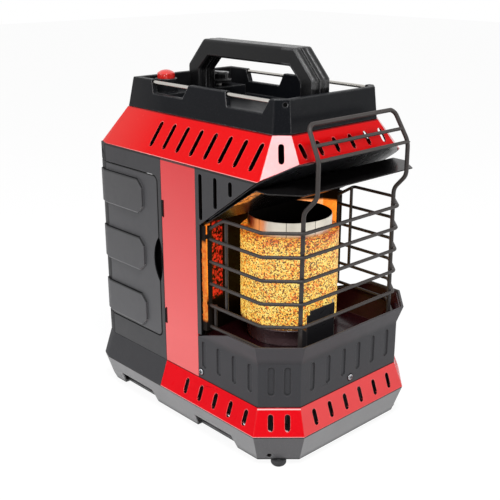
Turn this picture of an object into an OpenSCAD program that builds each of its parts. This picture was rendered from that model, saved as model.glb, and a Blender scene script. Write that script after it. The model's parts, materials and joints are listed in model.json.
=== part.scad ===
// Portable propane heater: a radiant drum burner behind a wire guard, with a cylinder bay at the rear.
// Millimetres, +Z up. The burner faces -Y and the cylinder door is on the -X side.

/* [Body] */
// Width between the outer faces of the side walls
body_w = 225.4; // [218:0.2:240]
// Length from the front wall to the back wall
body_l = 310.1; // [305:0.1:330]
// How far the lower edge of the skirt stands out from the wall
flare_out = 11; // [7:0.5:13]
// Size of the front corner cut along the width
front_cut_x = 33.4; // [31:0.2:35]
// Size of the front corner cut along the length
front_cut_y = 30.9; // [29:0.1:33]
// Size of the rear corner cut along the width
rear_cut_x = 6; // [5:0.5:7]
// Size of the rear corner cut along the length
rear_cut_y = 17.3; // [15:0.1:19]
// Wall thickness of the moulded panels
wall_t = 2.5; // [2:0.1:3]
// Thickness of the sheet steel parts
sheet_t = 1.2; // [0.8:0.1:1.5]

/* [Heights] */
// Height of the rubber feet below the pan
foot_h = 7; // [5:0.5:10]
// Height of the base pan
pan_h = 33.4; // [30:0.1:36]
// Height of the flared skirt
skirt_h = 30.1; // [27:0.1:33]
// Height of the walls between skirt and hood
wall_h = 243.1; // [240:0.1:250]
// Height of the bevelled hood
hood_h = 41.2; // [38:0.1:45]
// Height of the top tray
tray_h = 34.7; // [32:0.1:38]
// Height of the handle's top above the tray rim
handle_rise = 42.5; // [36:0.5:50]

/* [Base] */
// Thickness of the pan floor
floor_t = 3; // [2:0.1:4]
// Radius of a rubber foot
foot_r = 8.5; // [6:0.5:10]
// Distance of a foot's centre in from the front wall
foot_front = 17.5; // [15:0.5:24]
// Distance of a foot's centre in from the side wall
foot_side = 19; // [16:0.5:28]
// Height of the grab notches above the pan's underside
notch_h = 15; // [10:0.5:18]
// Length of a grab notch
notch_l = 62; // [50:1:66]
// Rear end of the rear grab notch
notch_rear_y = 125; // [118:1:128]
// Rear end of the front grab notch
notch_front_y = -19; // [-24:1:-14]
// How far the bar across a notch is set in
notch_bar_in = 6; // [4:0.5:8]

/* [Column and skirt] */
// Front edge of the red column, along Y
column_front = -21.6; // [-24:0.1:-20]
// Width of the red column
column_w = 59; // [56:0.5:60]
// Depth of the column's rear flange
column_flange = 14; // [8:0.5:16]
// Width of an air slot
slot_w = 5.4; // [3:0.1:6]
// Distance between skirt slots
skirt_pitch = 24.7; // [20:0.1:25]
// Height of a skirt slot
skirt_slot_h = 16.6; // [12:0.1:20]

/* [Door] */
// Margin between column and door
door_margin = 7.1; // [5:0.1:10]
// Running gap round the door
door_gap = 0.8; // [0.5:0.1:1.2]
// Bottom of the door opening above the walls' lower edge
door_low = 27; // [22:0.5:34]
// Top of the door opening below the walls' upper edge
door_high = 21.1; // [17:0.1:26]
// Corner radius of the door
door_r = 7; // [3:0.5:9]
// How far the blocks stand out
block_out = 3; // [1.5:0.1:4]
// Gap between two blocks
block_gap = 29.3; // [26:0.1:33]
// Length of the block's cut corner
block_cut = 9; // [5:0.5:12]
// Front edge of the blocks from the door's front edge
block_margin = 26.5; // [20:0.5:30]
// Depth of the finger scoop
scoop_depth = 10; // [6:0.5:13]
// Height of the finger scoop
scoop_h = 55; // [45:1:65]
// Radius of a hinge pin
pin_r = 1.5; // [1:0.1:2]
// Radius of a hinge barrel
barrel_r = 3.4; // [3:0.1:3.6]
// Length of a hinge barrel
barrel_l = 19; // [12:0.5:26]
// How far the door opens, in degrees
door_open = 110; // [90:1:112]

/* [Front] */
// Width of the vent panel's leg beside the column
leg_w = 6.4; // [5:0.1:8]
// Depth of the vent panel's lower tip below the hood
ceiling_drop = 61.6; // [60:0.1:64]
// Rise of the slanted ceiling for each millimetre towards the front
ceiling_rise = 0.712; // [0.68:0.002:0.74]
// Height of the basin wall above the skirt
basin_h = 51; // [48:0.5:54]
// Height of the basin's flared rim
rim_h = 20.8; // [18:0.2:24]
// How far the rim flares out
rim_out = 7.1; // [4:0.1:9]
// Width of a pressed rib in the basin
rib_w = 7; // [3:0.1:8]
// Depth of a pressed rib
rib_depth = 1.5; // [0.6:0.1:1.6]
// Height of the liner's floor above the walls' lower edge
liner_low = 33.5; // [32:0.5:35]
// How far the liner's floor edge stands in from the wall
liner_in = 20; // [16:0.5:24]

/* [Burner] */
// Centre of the burner along Y, from the front wall
burner_back = 97.5; // [96:0.5:99]
// Outer radius of the mesh drum
mesh_r = 56; // [52:0.5:57]
// Gap between the burner's top and the vent panel's lower tip
burner_gap = 2; // [1:0.1:4]
// Outer radius of the steel band above the mesh
band_r = 47.8; // [40:0.2:50]
// Height of the steel band
band_h = 17; // [14:0.5:18]
// Height of the dark ring below the mesh
ring_h = 22; // [18:0.5:24]
// Radius of the mixer tube
mixer_r = 10.5; // [8:0.5:13]
// Radius of the inner flame tube
flame_r = 30; // [22:0.5:36]

/* [Guard] */
// Radius of the heavy guard wire
heavy_r = 2.4; // [2:0.1:2.6]
// Radius of the light guard wire
light_r = 1.9; // [1.5:0.1:2]
// Distance of the guard's sides in from the side wall
guard_side_in = 8.7; // [8.2:0.1:10]
// Distance of the guard's front in from the front wall
guard_front_in = 4.2; // [3.6:0.05:4.5]
// Half width of the guard's straight front
guard_front_x = 75; // [73:0.5:77]
// Length of the guard's corner along the side
guard_corner_y = 30.7; // [29:0.1:32]
// Height of the bottom rail above the walls' lower edge
rail_up = 63.5; // [62:0.5:65]
// Depth of the top guard loop below the hood
guard_top = 52.6; // [50:0.1:55]
// Number of loops above the bottom rail
loop_count = 5; // [5:1:5]

/* [Top] */
// Distance of the hood's top edge in from the side wall
hood_in = 31.9; // [28:0.1:34]
// Distance of the hood's top edge in from the back wall
hood_back_in = 21.3; // [18:0.1:24]
// Distance between the slots along the hood
hood_pitch = 23.2; // [20:0.1:23.4]
// Thickness of the tray's rim
rim_t = 7; // [6:0.1:8]
// Thickness of the tray floor
tray_floor_t = 4; // [3:0.1:5]
// Depth of the notches in the tray rim
tray_notch = 15.3; // [12:0.1:18]
// Length of a rim notch
tray_notch_l = 67; // [55:1:70]
// Radius of the rods across the notches
rod_r = 2; // [1.5:0.1:2.4]
// Height of the control deck above the tray's underside
deck_h = 17.2; // [15:0.1:20]

/* [Handle] */
// Length of the handle over its legs
handle_l = 203.4; // [195:0.2:206]
// Centre of the handle along Y
handle_y = 6.2; // [0:0.1:8]
// Width of the handle across its grips
handle_w = 25.6; // [22:0.2:28]
// Width of the handle's core
core_w = 6.4; // [4:0.2:8]
// Thickness of the bar
bar_t = 19.6; // [16:0.2:22]
// Thickness of a leg
leg_t = 20.5; // [18:0.1:24]
// Length of the cut at the handle's shoulders
shoulder_y = 27.8; // [22:0.2:32]
// Height of the cut at the handle's shoulders
shoulder_z = 30.7; // [26:0.1:33]

/* [Controls] */
// Radius of the control knob
knob_r = 16; // [13:0.5:17]
// Height of the control knob
knob_h = 13; // [10:0.5:14]
// Radius of the valve stem
stem_r = 4; // [3:0.1:5]
// How far the knob is pushed in
knob_push = 3; // [2:0.1:3]
// Radius of the igniter button
button_r = 10.4; // [8:0.1:11]
// Travel of the igniter button
button_travel = 5; // [3:0.5:5]
// Height of the igniter collar above the deck
collar_h = 15; // [12:0.5:15]
// Radial clearance of a running fit
fit = 0.05; // [0.03:0.01:0.08]

/* [Gas] */
// Radius of the thread for the cylinder
socket_r = 12.1; // [12:0.1:13]
// Depth of the thread for the cylinder
socket_l = 14; // [10:0.5:16]
// Radius of the fuel cylinder that the bay holds
bottle_r = 50; // [48:0.5:51]
// Height of the fuel cylinder with its valve
bottle_h = 203; // [195:1:204]
// Radius of the gas pipe
pipe_r = 3; // [2.5:0.1:4]

/* [Hidden] */
$fn = 48;

far = 600;
over = 1;
touch = 0.1;
hair = 0.3;
corner_rise = 6;

half_w = body_w/2;
y_front = -(body_l + flare_out)/2 + flare_out;
y_back = y_front + body_l;
column_back = column_front + column_w;
z_pan = foot_h;
z_lip = z_pan + pan_h;
z_wall = z_lip + skirt_h;
z_hood = z_wall + wall_h;
z_tray = z_hood + hood_h;
z_rim = z_tray + tray_h;
z_top = z_rim + handle_rise;
z_floor = z_pan + floor_t;

cut_a = atan2(-front_cut_x, front_cut_y);
cut_d = cos(cut_a)*half_w + sin(cut_a)*(y_front + front_cut_y);
rear_a = atan2(rear_cut_x, rear_cut_y);
rear_d = cos(rear_a)*half_w + sin(rear_a)*(y_back - rear_cut_y);
cut_mid = cos(cut_a)*(y_front + front_cut_y/2) - sin(cut_a)*(half_w - front_cut_x/2);

// Faces of the body: angle of the outward normal, distance from the axis, and 1 for the back face
FACES = [[0, half_w, 0], [180, half_w, 0], [-90, -y_front, 0], [cut_a, cut_d, 0], [180 - cut_a, cut_d, 0],
    [rear_a, rear_d, 0], [180 - rear_a, rear_d, 0], [90, y_back, 1]];

// Ceiling that slants up to the front, and its meeting with the walls
leg_y = column_front - leg_w;
z_ceiling = z_hood - ceiling_drop;
function ceiling(y) = z_ceiling + (leg_y - y)*ceiling_rise;
function ceiling_at(z) = leg_y - (z - z_ceiling)/ceiling_rise;

basin_z = z_wall + basin_h;
rim_z = basin_z + rim_h;
rim_ramp = 58;
liner_z = z_wall + liner_low;
liner_t = 1;
liner_end = leg_y - 4;

burner_y = y_front + burner_back;
ring_z = liner_z + liner_t;
mesh_z = ring_z + ring_h;
band_top = z_ceiling - burner_gap;
band_z = band_top - band_h;
mesh_h = band_z - mesh_z;
mesh_t = 1.2;
band_t = 0.8;

guard_x = half_w - guard_side_in;
guard_y = y_front + guard_front_in;
guard_end = leg_y - 6.3;
bend_ratio = 1.18;
bracket_t = 1.2;
rail_z = z_wall + rail_up;
frame_y = guard_y + light_r + heavy_r + fit;
top_loop_z = z_hood - guard_top;
loop_pitch = (top_loop_z - rail_z)/loop_count;
// Half path of the heavy frame, from its foot to the top cross wire: the bend stands out past the deflectors
frame_out_y = y_front - 8;
FRAME_HALF = [[guard_front_x - 1.5, frame_y, rail_z - 3], [guard_front_x - 3.5, frame_y, z_hood - 32.6],
    [guard_front_x - 4.7, frame_out_y, z_hood - 15.1], [guard_front_x - 5.2, frame_out_y, z_hood + 21.9],
    [guard_front_x - 8.1, y_front + 8, z_hood + 50.4], [guard_front_x - 13, y_front + 10.3, z_hood + 54.4]];

door_y0 = column_back + door_margin;
door_z0 = z_wall + door_low;
door_z1 = z_hood - door_high;
door_h = door_z1 - door_z0;
scoop_z = door_z0 + door_h/2 - 1;
strip_depth = 6.3;
hinge_x = -(half_w - 9.7);
hinge_y = y_back - 5.5;
corner_x = half_w - 16.8;
door_corner_x = half_w - 11.7;
block_y = door_y0 + block_margin;
block_low = 5.2;
block_high = 9.4;
block_z0 = door_z0 + block_low;
block_h = (door_h - block_low - block_high - 2*block_gap)/3;
block_pitch = block_h + block_gap;
hole_fit = 0.03;

hood_lip = 1.2;
hood_t = 2;
tray_lo = [-hood_in - 0.7, -hood_back_in - 0.7];
tray_hi = [-hood_in - 4.3, -hood_back_in - 7.7];
tray_floor = z_tray + tray_floor_t;
deck_z = z_tray + deck_h;
deck_t = 3;
deck_in = 17;
deck_out = 62;
deck_front = y_back - 72.55;
rod_x = half_w + tray_hi[0] - 3.2;
rod_z = z_rim - 3.2;
rod_l = 202;
notch_slope_rear = 4;
notch_slope_front = 10;
TRAY_NOTCHES = [96.3, -30];

handle_y0 = handle_y - handle_l/2;
handle_y1 = handle_y + handle_l/2;
grip_w = (handle_w - core_w)/2;
HANDLE_SCREWS = [[handle_y0 + leg_t/2, z_rim + 4], [handle_y1 - leg_t/2, z_rim + 4],
    [handle_y - 52, z_top - bar_t/2], [handle_y + 52, z_top - bar_t/2]];
screw_r = 1.5;
screw_head_r = 3.7;
screw_head_h = 1.6;
screw_l = 7;
screw_hole_r = screw_r + 0.1;

KNOB = [35, y_back - 52.55];
BUTTON = [-45, y_back - 50.55];
knob_z = deck_z + knob_push + 0.4;
knob_bore_l = 9;
stem_low = deck_z - 24;
stem_top = knob_z + knob_bore_l - knob_push - 0.6;
valve_w = 24;
valve_h = 26;
valve_z1 = deck_z - deck_t - touch;
collar_r = button_r + 2.6;
button_z = deck_z + collar_h - 5;
button_top = deck_z + collar_h + 10;

BOTTLE = [-(half_w - 67.7), y_back - 63.5];
cradle_t = 3;
cradle_z = z_lip;
cradle_r = bottle_r + 4;
drain_r = 14;
socket_z = cradle_z + cradle_t + bottle_h - socket_l + 6;
regulator_r = 27;
regulator_z = socket_z + 24;
regulator_top = regulator_z + 26;
bulkhead_y1 = column_back - 1.6;
bulkhead_y0 = bulkhead_y1 - sheet_t;
bulkhead_z0 = z_wall + 3.5;

stand_x = 40;
stand_y = 40;
shelf_z = z_lip + 14.4;
shield_h = 53;
injector_z = shelf_z + sheet_t;
injector_h = 14;
mixer_z = injector_z + injector_h + 2;
pipe_z = injector_z + injector_h/2;
pipe_turn_y = column_front + 41.6;
elbow_cut = 1.15;
elbow_ball = 1.6;
PIPE_RISER = [half_w - 42.7, y_back - 100.5];
PILOT = [-17, burner_y - 62];
SWITCH = [54, y_back - 50.5];
switch_pivot = 20;
switch_half = 9;

function meet(p, q) = let (det = cos(p[0])*sin(q[0]) - sin(p[0])*cos(q[0]))
    [(p[1]*sin(q[0]) - q[1]*sin(p[0]))/det, (q[1]*cos(p[0]) - p[1]*cos(q[0]))/det];

function outline(out, back) = let (
    front = [-90, out - y_front], cut = [cut_a, cut_d + out], side = [0, half_w + out],
    rear = [rear_a, rear_d + out], end = [90, y_back + back],
    right = [meet(front, cut), meet(cut, side), meet(side, rear), meet(rear, end)])
    concat(right, [for (i = [3:-1:0]) [-right[i][0], right[i][1]]]);

function lerp(a, b, t) = a + (b - a)*t;

module both() {
    children();
    mirror([1, 0, 0]) children();
}

// Solid of the body's plan between two heights, out and back measured outward from the walls
module prism(out, back, z0, z1) {
    translate([0, 0, z0]) linear_extrude(z1 - z0) polygon(outline(out, back));
}

// The same with its sides sloping from lo = [out, back] at z0 to hi = [out, back] at z1
module taper(lo, hi, z0, z1, inset = 0, extra = 0) {
    e = extra/(z1 - z0);
    a = [for (i = [0, 1]) lerp(lo[i], hi[i], -e) - inset];
    b = [for (i = [0, 1]) lerp(lo[i], hi[i], 1 + e) - inset];
    intersection_for (f = FACES) {
        rotate([0, 0, f[0]]) rotate([90, 0, 0]) linear_extrude(height = 2*far, center = true)
            polygon([[-far, z0 - extra], [f[1] + a[f[2]], z0 - extra],
                [f[1] + b[f[2]], z1 + extra], [-far, z1 + extra]]);
    }
}

module wall(out, t, z0, z1) {
    difference() {
        prism(out, out, z0, z1);
        prism(out - t, out - t, z0 - over, z1 + over);
    }
}

// The drop carries the wall's foot on down by that much, into the piece below
module tapered_wall(lo, hi, z0, z1, t, drop = 0) {
    difference() {
        taper(lo, hi, z0, z1, 0, drop);
        taper(lo, hi, z0, z1, t, drop + over);
        if (drop > 0) translate([-far, -far, z1]) cube([2*far, 2*far, far]);
    }
}

module band_y(y0, y1) {
    translate([-far, y0, -over]) cube([2*far, y1 - y0, far]);
}

// Outline drawn in Y and Z, carried along X
module along_x(x0, x1) {
    translate([x0, 0, 0]) rotate([90, 0, 90]) linear_extrude(x1 - x0) children();
}

module slot_2d(w, l) {
    square([w, l - w], center = true);
    for (s = [-1, 1]) translate([0, s*(l - w)/2]) circle(d = w);
}

module rounded_2d(y0, y1, z0, z1, r) {
    translate([y0 + r, z0]) square([y1 - y0 - r, z1 - z0]);
    translate([y0, z0 + r]) square([r, z1 - z0 - 2*r]);
    for (z = [z0 + r, z1 - r]) translate([y0 + r, z]) circle(r = r);
}

// Slot cut into a face whose normal has this angle
module face_slot(angle, d, along, z0, z1, w, depth) {
    rotate([0, 0, angle]) translate([d, along, (z0 + z1)/2]) rotate([90, 0, 90])
        linear_extrude(height = depth, center = true) slot_2d(w, z1 - z0);
}

module rod(p, q, r) {
    v = q - p;
    translate(p) rotate([0, acos(v[2]/norm(v)), atan2(v[1], v[0])]) cylinder(r = r, h = norm(v));
}

function way(p, q) = (q - p)/norm(q - p);

// Ball in a bend, turned so that its seam lies on the outer side of the bend
module bend_ball(p, a, b, r) {
    x = -(a + b)/norm(a + b);
    z = cross(a, b)/norm(cross(a, b));
    y = cross(z, x);
    multmatrix([[x[0], y[0], z[0], p[0]], [x[1], y[1], z[1], p[1]], [x[2], y[2], z[2], p[2]]]) sphere(r = r);
}

// Bent wire: rods that stop short of each bend, and a slightly larger ball in the bend
module wire(path, r, short = 0.55, ball = bend_ratio) {
    last = len(path) - 1;
    for (i = [0:last - 1]) {
        v = way(path[i], path[i + 1]);
        rod(path[i] + v*(i == 0 ? 0 : short*r), path[i + 1] - v*(i == last - 1 ? 0 : short*r), r);
    }
    for (i = [1:last - 1]) bend_ball(path[i], way(path[i], path[i - 1]), way(path[i], path[i + 1]), ball*r);
}

module at(p, z) {
    translate([p[0], p[1], z]) children();
}

module notch_2d(y1) {
    polygon([[y1, z_pan - over], [y1, z_pan + notch_h], [y1 - notch_l, z_pan + notch_h],
        [y1 - notch_l - corner_rise, z_pan - over]]);
}

module base_pan() {
    notches = [notch_rear_y, notch_front_y];
    color("slategray") difference() {
        union() {
            tapered_wall([0, 0], [flare_out, 0], z_pan, z_lip, wall_t);
            prism(-1, -1, z_pan, z_floor);
        }
        both() for (y1 = notches) {
            along_x(half_w - notch_bar_in, far) notch_2d(y1);
            translate([half_w - notch_bar_in - 34, y1 - notch_l + 3, z_pan - over])
                cube([29, notch_l - 6, floor_t + 2*over]);
        }
        for (p = foot_points()) at(p, z_pan - over) cylinder(r = 3 + touch, h = floor_t + 2*over);
        translate([0, burner_y, z_pan - over]) cylinder(r = 30, h = floor_t + 2*over);
        at(BOTTLE, z_pan - over) cylinder(r = drain_r, h = floor_t + 2*over);
        both() face_slot(cut_a, cut_d, cut_mid + 10, z_pan + 3.5, z_pan + 8.9, 4.6, 6);
    }
}

function foot_points() = [for (s = [-1, 1], y = [y_front + foot_front, y_back - foot_front])
    [s*(half_w - foot_side), y]];

module rubber_feet() {
    color("black") for (p = foot_points()) at(p, 0) rotate_extrude()
        polygon([[0, 0], [foot_r - 2, 0], [foot_r, 2.5], [foot_r, foot_h], [3, foot_h],
            [3, z_floor + 1], [0, z_floor + 1]]);
}

module skirt(y0, y1) {
    intersection() {
        tapered_wall([flare_out, 0], [0, 0], z_lip, z_wall, wall_t);
        band_y(y0, y1);
    }
}

module front_skirt() {
    slot_z0 = z_lip + 6.1;
    slot_z1 = slot_z0 + skirt_slot_h;
    color("red") difference() {
        skirt(-far/2, column_back - touch/2);
        both() for (i = [0:4]) face_slot(0, half_w, -6.1 - i*skirt_pitch, slot_z0, slot_z1, slot_w, 40);
        for (i = [-2.5:1:2.5]) face_slot(-90, -y_front, i*skirt_pitch, slot_z0, slot_z1, slot_w, 40);
        both() for (s = [-1, 1]) face_slot(cut_a, cut_d, cut_mid + s*9, slot_z0, slot_z1, slot_w, 40);
    }
}

module rear_skirt() {
    color("dimgray") skirt(column_back + touch/2, far/2);
}

module door_opening(gap) {
    along_x(-far/2, -corner_x) rounded_2d(door_y0 - gap, far/2, door_z0 + door_gap - gap,
        door_z1 - door_gap + gap, door_r + gap);
}

module side_shell() {
    intersection() {
        wall(0, wall_t, z_wall, z_hood);
        translate([-far/2, column_back + touch/2, z_wall - over])
            cube([far/2 - corner_x, far/2, wall_h + 2*over]);
    }
}

module hinge_lug(z0, z1) {
    translate([hinge_x, hinge_y, z0]) cylinder(r = barrel_r, h = z1 - z0);
    translate([hinge_x - barrel_r - 1.8, hinge_y - 1.5, z0]) cube([barrel_r + 1.8, 3, z1 - z0]);
}

module side_frame() {
    pocket_x = half_w - wall_t - 7;
    pocket_z = scoop_z - scoop_h/2 - 9;
    pocket_h = scoop_h + 17;
    strip_r = (pow(scoop_h/2, 2) + pow(strip_depth, 2))/(2*strip_depth);
    color("dimgray") difference() {
        union() {
            difference() {
                side_shell();
                door_opening(door_gap);
            }
            hinge_lug(door_z0 - 13, door_z0 - door_gap/2);
            hinge_lug(door_z1 + door_gap/2, door_z1 + 13);
            translate([-pocket_x - sheet_t, column_back + touch/2, pocket_z]) cube([sheet_t, 26, pocket_h]);
            translate([-half_w + wall_t/2, column_back + touch/2, pocket_z])
                cube([half_w - pocket_x, 3, pocket_h]);
        }
        translate([hinge_x, hinge_y, z_wall]) cylinder(r = pin_r + hole_fit, h = wall_h);
        translate([-far/2, door_y0 - strip_depth + strip_r, scoop_z]) rotate([0, 90, 0])
            cylinder(r = strip_r, h = far/2 - half_w + 1.8);
    }
}

module blocks() {
    y0 = block_y;
    intersection() {
        wall(block_out, block_out + wall_t/2, z_wall, z_hood);
        along_x(-far/2, -corner_x) for (i = [0:2]) {
            z0 = block_z0 + i*block_pitch;
            polygon([[y0 + block_cut, z0], [y0, z0 + block_cut], [y0, z0 + block_h - block_cut],
                [y0 + block_cut, z0 + block_h], [y_back - 5, z0 + block_h], [y_back - 5, z0]]);
        }
    }
}

module cylinder_door() {
    scoop_r = (pow(scoop_h/2, 2) + pow(scoop_depth, 2))/(2*scoop_depth);
    leaf_z0 = door_z0 + door_gap;
    leaf_z1 = door_z1 - door_gap;
    color("dimgray") difference() {
        union() {
            intersection() {
                wall(0, wall_t, z_wall, z_hood);
                door_opening(0);
                translate([-far/2, 0, 0]) cube([far/2 - door_corner_x, far, far]);
            }
            blocks();
            translate([hinge_x, hinge_y, leaf_z0]) cylinder(r = barrel_r, h = barrel_l);
            translate([hinge_x, hinge_y, leaf_z1 - barrel_l]) cylinder(r = barrel_r, h = barrel_l);
        }
        translate([hinge_x, hinge_y, z_wall]) cylinder(r = pin_r + fit, h = wall_h);
        translate([-far/2, door_y0 + scoop_depth - scoop_r, scoop_z]) rotate([0, 90, 0])
            cylinder(r = scoop_r, h = far/2 - corner_x);
    }
}

module door_hinge_pins() {
    color("silver") {
        translate([hinge_x, hinge_y, door_z0 - 12]) cylinder(r = pin_r, h = 12 + barrel_l);
        translate([hinge_x, hinge_y, door_z1 - barrel_l]) cylinder(r = pin_r, h = 12 + barrel_l);
    }
}

// Spring clip on the frame's pocket plate that the door's edge snaps against
module door_catch() {
    x0 = -(half_w - wall_t - 7);
    color("silver") along_x(x0 - 6, x0 - sheet_t - touch)
        translate([door_y0 + 12, scoop_z + scoop_h/2 + 4]) square([4, 3.8]);
}

module right_side_panel() {
    color("dimgray") mirror([1, 0, 0]) union() {
        side_shell();
        blocks();
    }
}

BACK_SCREWS = [for (x = [-1, 1], z = [0.06, 0.5, 0.94]) [x*(corner_x - 12), z_wall + z*wall_h]];

module back_panel() {
    plate_y = y_back - 1.6;
    w = corner_x - 0.4;
    color("dimgray") difference() {
        translate([-w, plate_y - wall_t + 0.5, z_wall + touch]) cube([2*w, wall_t + 1.1, wall_h - 2*touch]);
        translate([-w + 5, plate_y, z_wall + 5]) cube([2*w - 10, wall_t, wall_h - 10]);
        for (i = [0:6], z = [30, 150]) translate([-45, y_back - 10, z_wall + z + i*8]) cube([90, 20, 3.5]);
        for (p = BACK_SCREWS) translate([p[0], y_back + over, p[1]]) rotate([90, 0, 0])
            cylinder(r = screw_hole_r, h = 10);
    }
}

module column() {
    t = 1.6;
    notch = [2.4, 20];
    difference() {
        union() {
            translate([half_w - t, column_front + touch/2, z_wall]) cube([t, column_w - touch, wall_h]);
            translate([half_w - 4, column_front + touch/2, z_wall]) cube([4, t, wall_h]);
            translate([half_w - column_flange, bulkhead_y1, z_wall])
                cube([column_flange, t - touch/2, wall_h]);
        }
        for (z = [z_wall + 48, z_hood - 67.1])
            translate([half_w - t - over, column_back - 1.6 - notch[0], z])
                cube([t + 2*over, notch[0], notch[1]]);
    }
}

module left_column() {
    color("red") mirror([1, 0, 0]) column();
}

module right_column() {
    color("red") column();
}

module vent_panel() {
    top_z = z_hood - 6;
    difference() {
        along_x(half_w - wall_t, half_w) polygon([[column_front - touch/2, z_hood],
            [ceiling_at(z_hood), z_hood], [leg_y, z_ceiling], [leg_y, basin_z + 2.5],
            [column_front - touch/2, basin_z + 2.5]]);
        for (s = [[-30.3, 50], [-54, 33], [-77.3, 15.5]])
            face_slot(0, half_w, s[0], top_z - s[1], top_z, slot_w, 20);
    }
}

module left_vent_panel() {
    color("dimgray") mirror([1, 0, 0]) vent_panel();
}

module right_vent_panel() {
    color("dimgray") vent_panel();
}

// Space above the ramp where the basin's rim runs down to the column
module above_ramp(drop) {
    rise = (rim_z - basin_z + over)/rim_ramp;
    low = basin_z - over - drop;
    along_x(-far/2, far/2) polygon([[column_front + over, low - rise*over],
        [column_front - 2*rim_ramp, low + 2*rise*rim_ramp], [column_front + over, far]]);
}

module rib(angle, d, along) {
    rib_z = z_wall + 13.5;
    face_slot(angle, d, along, rib_z, rib_z + 33, rib_w, 2*rib_depth);
}

module front_basin() {
    color("dimgray") difference() {
        intersection() {
            union() {
                wall(0, wall_t, z_wall, basin_z + 0.4);
                tapered_wall([0, 0], [rim_out, rim_out], basin_z, rim_z, wall_t, over);
            }
            band_y(-far/2, column_front - touch/2);
        }
        above_ramp(0);
        both() for (i = [0:3]) rib(0, half_w, column_front - 10 - i*25);
        for (i = [-2.5:1:2.5]) rib(-90, -y_front, i*skirt_pitch);
        both() for (s = [-1, 1]) rib(cut_a, cut_d, cut_mid + s*8.6);
        for (p = BASIN_SCREWS) case_hole(p);
    }
}

// Case screws: angle of the face, distance, place along it, height
BASIN_SCREWS = [[0, half_w, column_front - 5, z_wall + 8], [180, half_w, -column_front + 5, z_wall + 8],
    [-90, -y_front, 0, z_wall + 8]];

module on_face(p) {
    rotate([0, 0, p[0]]) translate([p[1], p[2], p[3]]) rotate([0, 90, 0]) children();
}

module case_hole(p) {
    on_face(p) cylinder(r = screw_hole_r, h = 20, center = true);
}

module screw() {
    cylinder(r = screw_head_r, h = screw_head_h);
    translate([0, 0, -screw_l]) cylinder(r = screw_r, h = screw_l + over);
}

module case_screws() {
    color("silver") {
        for (p = BASIN_SCREWS) on_face(p) screw();
        for (p = BACK_SCREWS) translate([p[0], y_back - 1.6, p[1]]) rotate([-90, 0, 0]) screw();
    }
}

module basin_liner() {
    lo = [-liner_in, -liner_in];
    top_z = rim_z - 2.3;
    hi = [3.5, 3.5];
    rear = burner_y + mesh_r + 6;
    color("saddlebrown") difference() {
        union() {
            difference() {
                intersection() {
                    tapered_wall(lo, hi, liner_z, top_z, liner_t);
                    band_y(-far/2, liner_end);
                }
                above_ramp(1.5);
            }
            intersection() {
                prism(-liner_in - hair, 0, liner_z, liner_z + liner_t);
                band_y(-far/2, liner_end + over);
            }
            translate([-(half_w - 5), liner_end, liner_z]) cube([2*(half_w - 5), rear - liner_end, liner_t]);
        }
        translate([0, burner_y, z_wall]) cylinder(r = mixer_r + 0.2, h = wall_h);
    }
}

module hood_slot(angle, d, along, z0, z1) {
    face_slot(angle, d - hood_in/2, along, z_hood + z0, z_hood + z1, slot_w, 60);
}

module hood() {
    color("red") difference() {
        union() {
            tapered_wall([-hood_lip, -hood_lip], [-hood_in, -hood_back_in], z_hood, z_tray, hood_t);
            intersection() {
                tapered_wall([-hood_in, -hood_back_in], [-hood_in, -hood_back_in],
                    z_tray - hood_t, z_tray, 12);
                taper([-hood_lip, -hood_lip], [-hood_in, -hood_back_in], z_hood, z_tray, hood_t/2);
            }
        }
        along_x(-far/2, far/2) polygon([[leg_y, z_ceiling], [-far/2, ceiling(-far/2)],
            [-far/2, 0], [leg_y, 0]]);
        both() for (i = [0:7]) hood_slot(0, half_w, 64.2 - i*hood_pitch, 8.1, 33);
        for (i = [-2.5:1:2.5]) hood_slot(-90, -y_front, i*24.6, 19.4, 32.7);
        both() hood_slot(cut_a, cut_d, cut_mid, 16.4, 33.6);
    }
}

module tray_notch_2d(y1) {
    low = z_rim - tray_notch;
    polygon([[y1, z_rim + over], [y1 - notch_slope_rear, low], [y1 - tray_notch_l + notch_slope_front, low],
        [y1 - tray_notch_l, z_rim + over]]);
}

module top_tray() {
    back_y = y_back + tray_lo[1] - rim_t + over;
    color("black") difference() {
        union() {
            tapered_wall(tray_lo, tray_hi, z_tray, z_rim, rim_t);
            intersection() {
                taper(tray_lo, tray_hi, z_tray, z_rim);
                union() {
                    translate([-far/2, -far/2, z_tray]) cube([far, far, tray_floor_t]);
                    both() translate([deck_in, deck_front, z_tray]) cube([deck_out - deck_in, far, deck_h]);
                }
            }
        }
        both() translate([deck_in + deck_t, deck_front + deck_t, z_tray - over])
            cube([deck_out - deck_in - 2*deck_t, back_y - deck_front - 2*deck_t, deck_h - deck_t + over]);
        along_x(-far/2, far/2) for (y1 = TRAY_NOTCHES) tray_notch_2d(y1);
        both() translate([rod_x, handle_y - 6.5 - rod_l/2 - hair, rod_z]) rotate([-90, 0, 0])
            cylinder(r = rod_r + touch, h = rod_l + 2*hair);
        at(KNOB, z_tray) cylinder(r = stem_r + 1.5, h = far/4);
        at(BUTTON, z_tray) cylinder(r = button_r - 1.1, h = far/4);
        both() face_slot(cut_a, cut_d + tray_hi[0], cut_mid - 4, z_rim - 7.5, z_rim - 3.5, 3.9, 6);
    }
}

module tray_rods() {
    color("silver") both() translate([rod_x, handle_y - 6.5 - rod_l/2, rod_z]) rotate([-90, 0, 0])
        cylinder(r = rod_r, h = rod_l);
}

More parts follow.
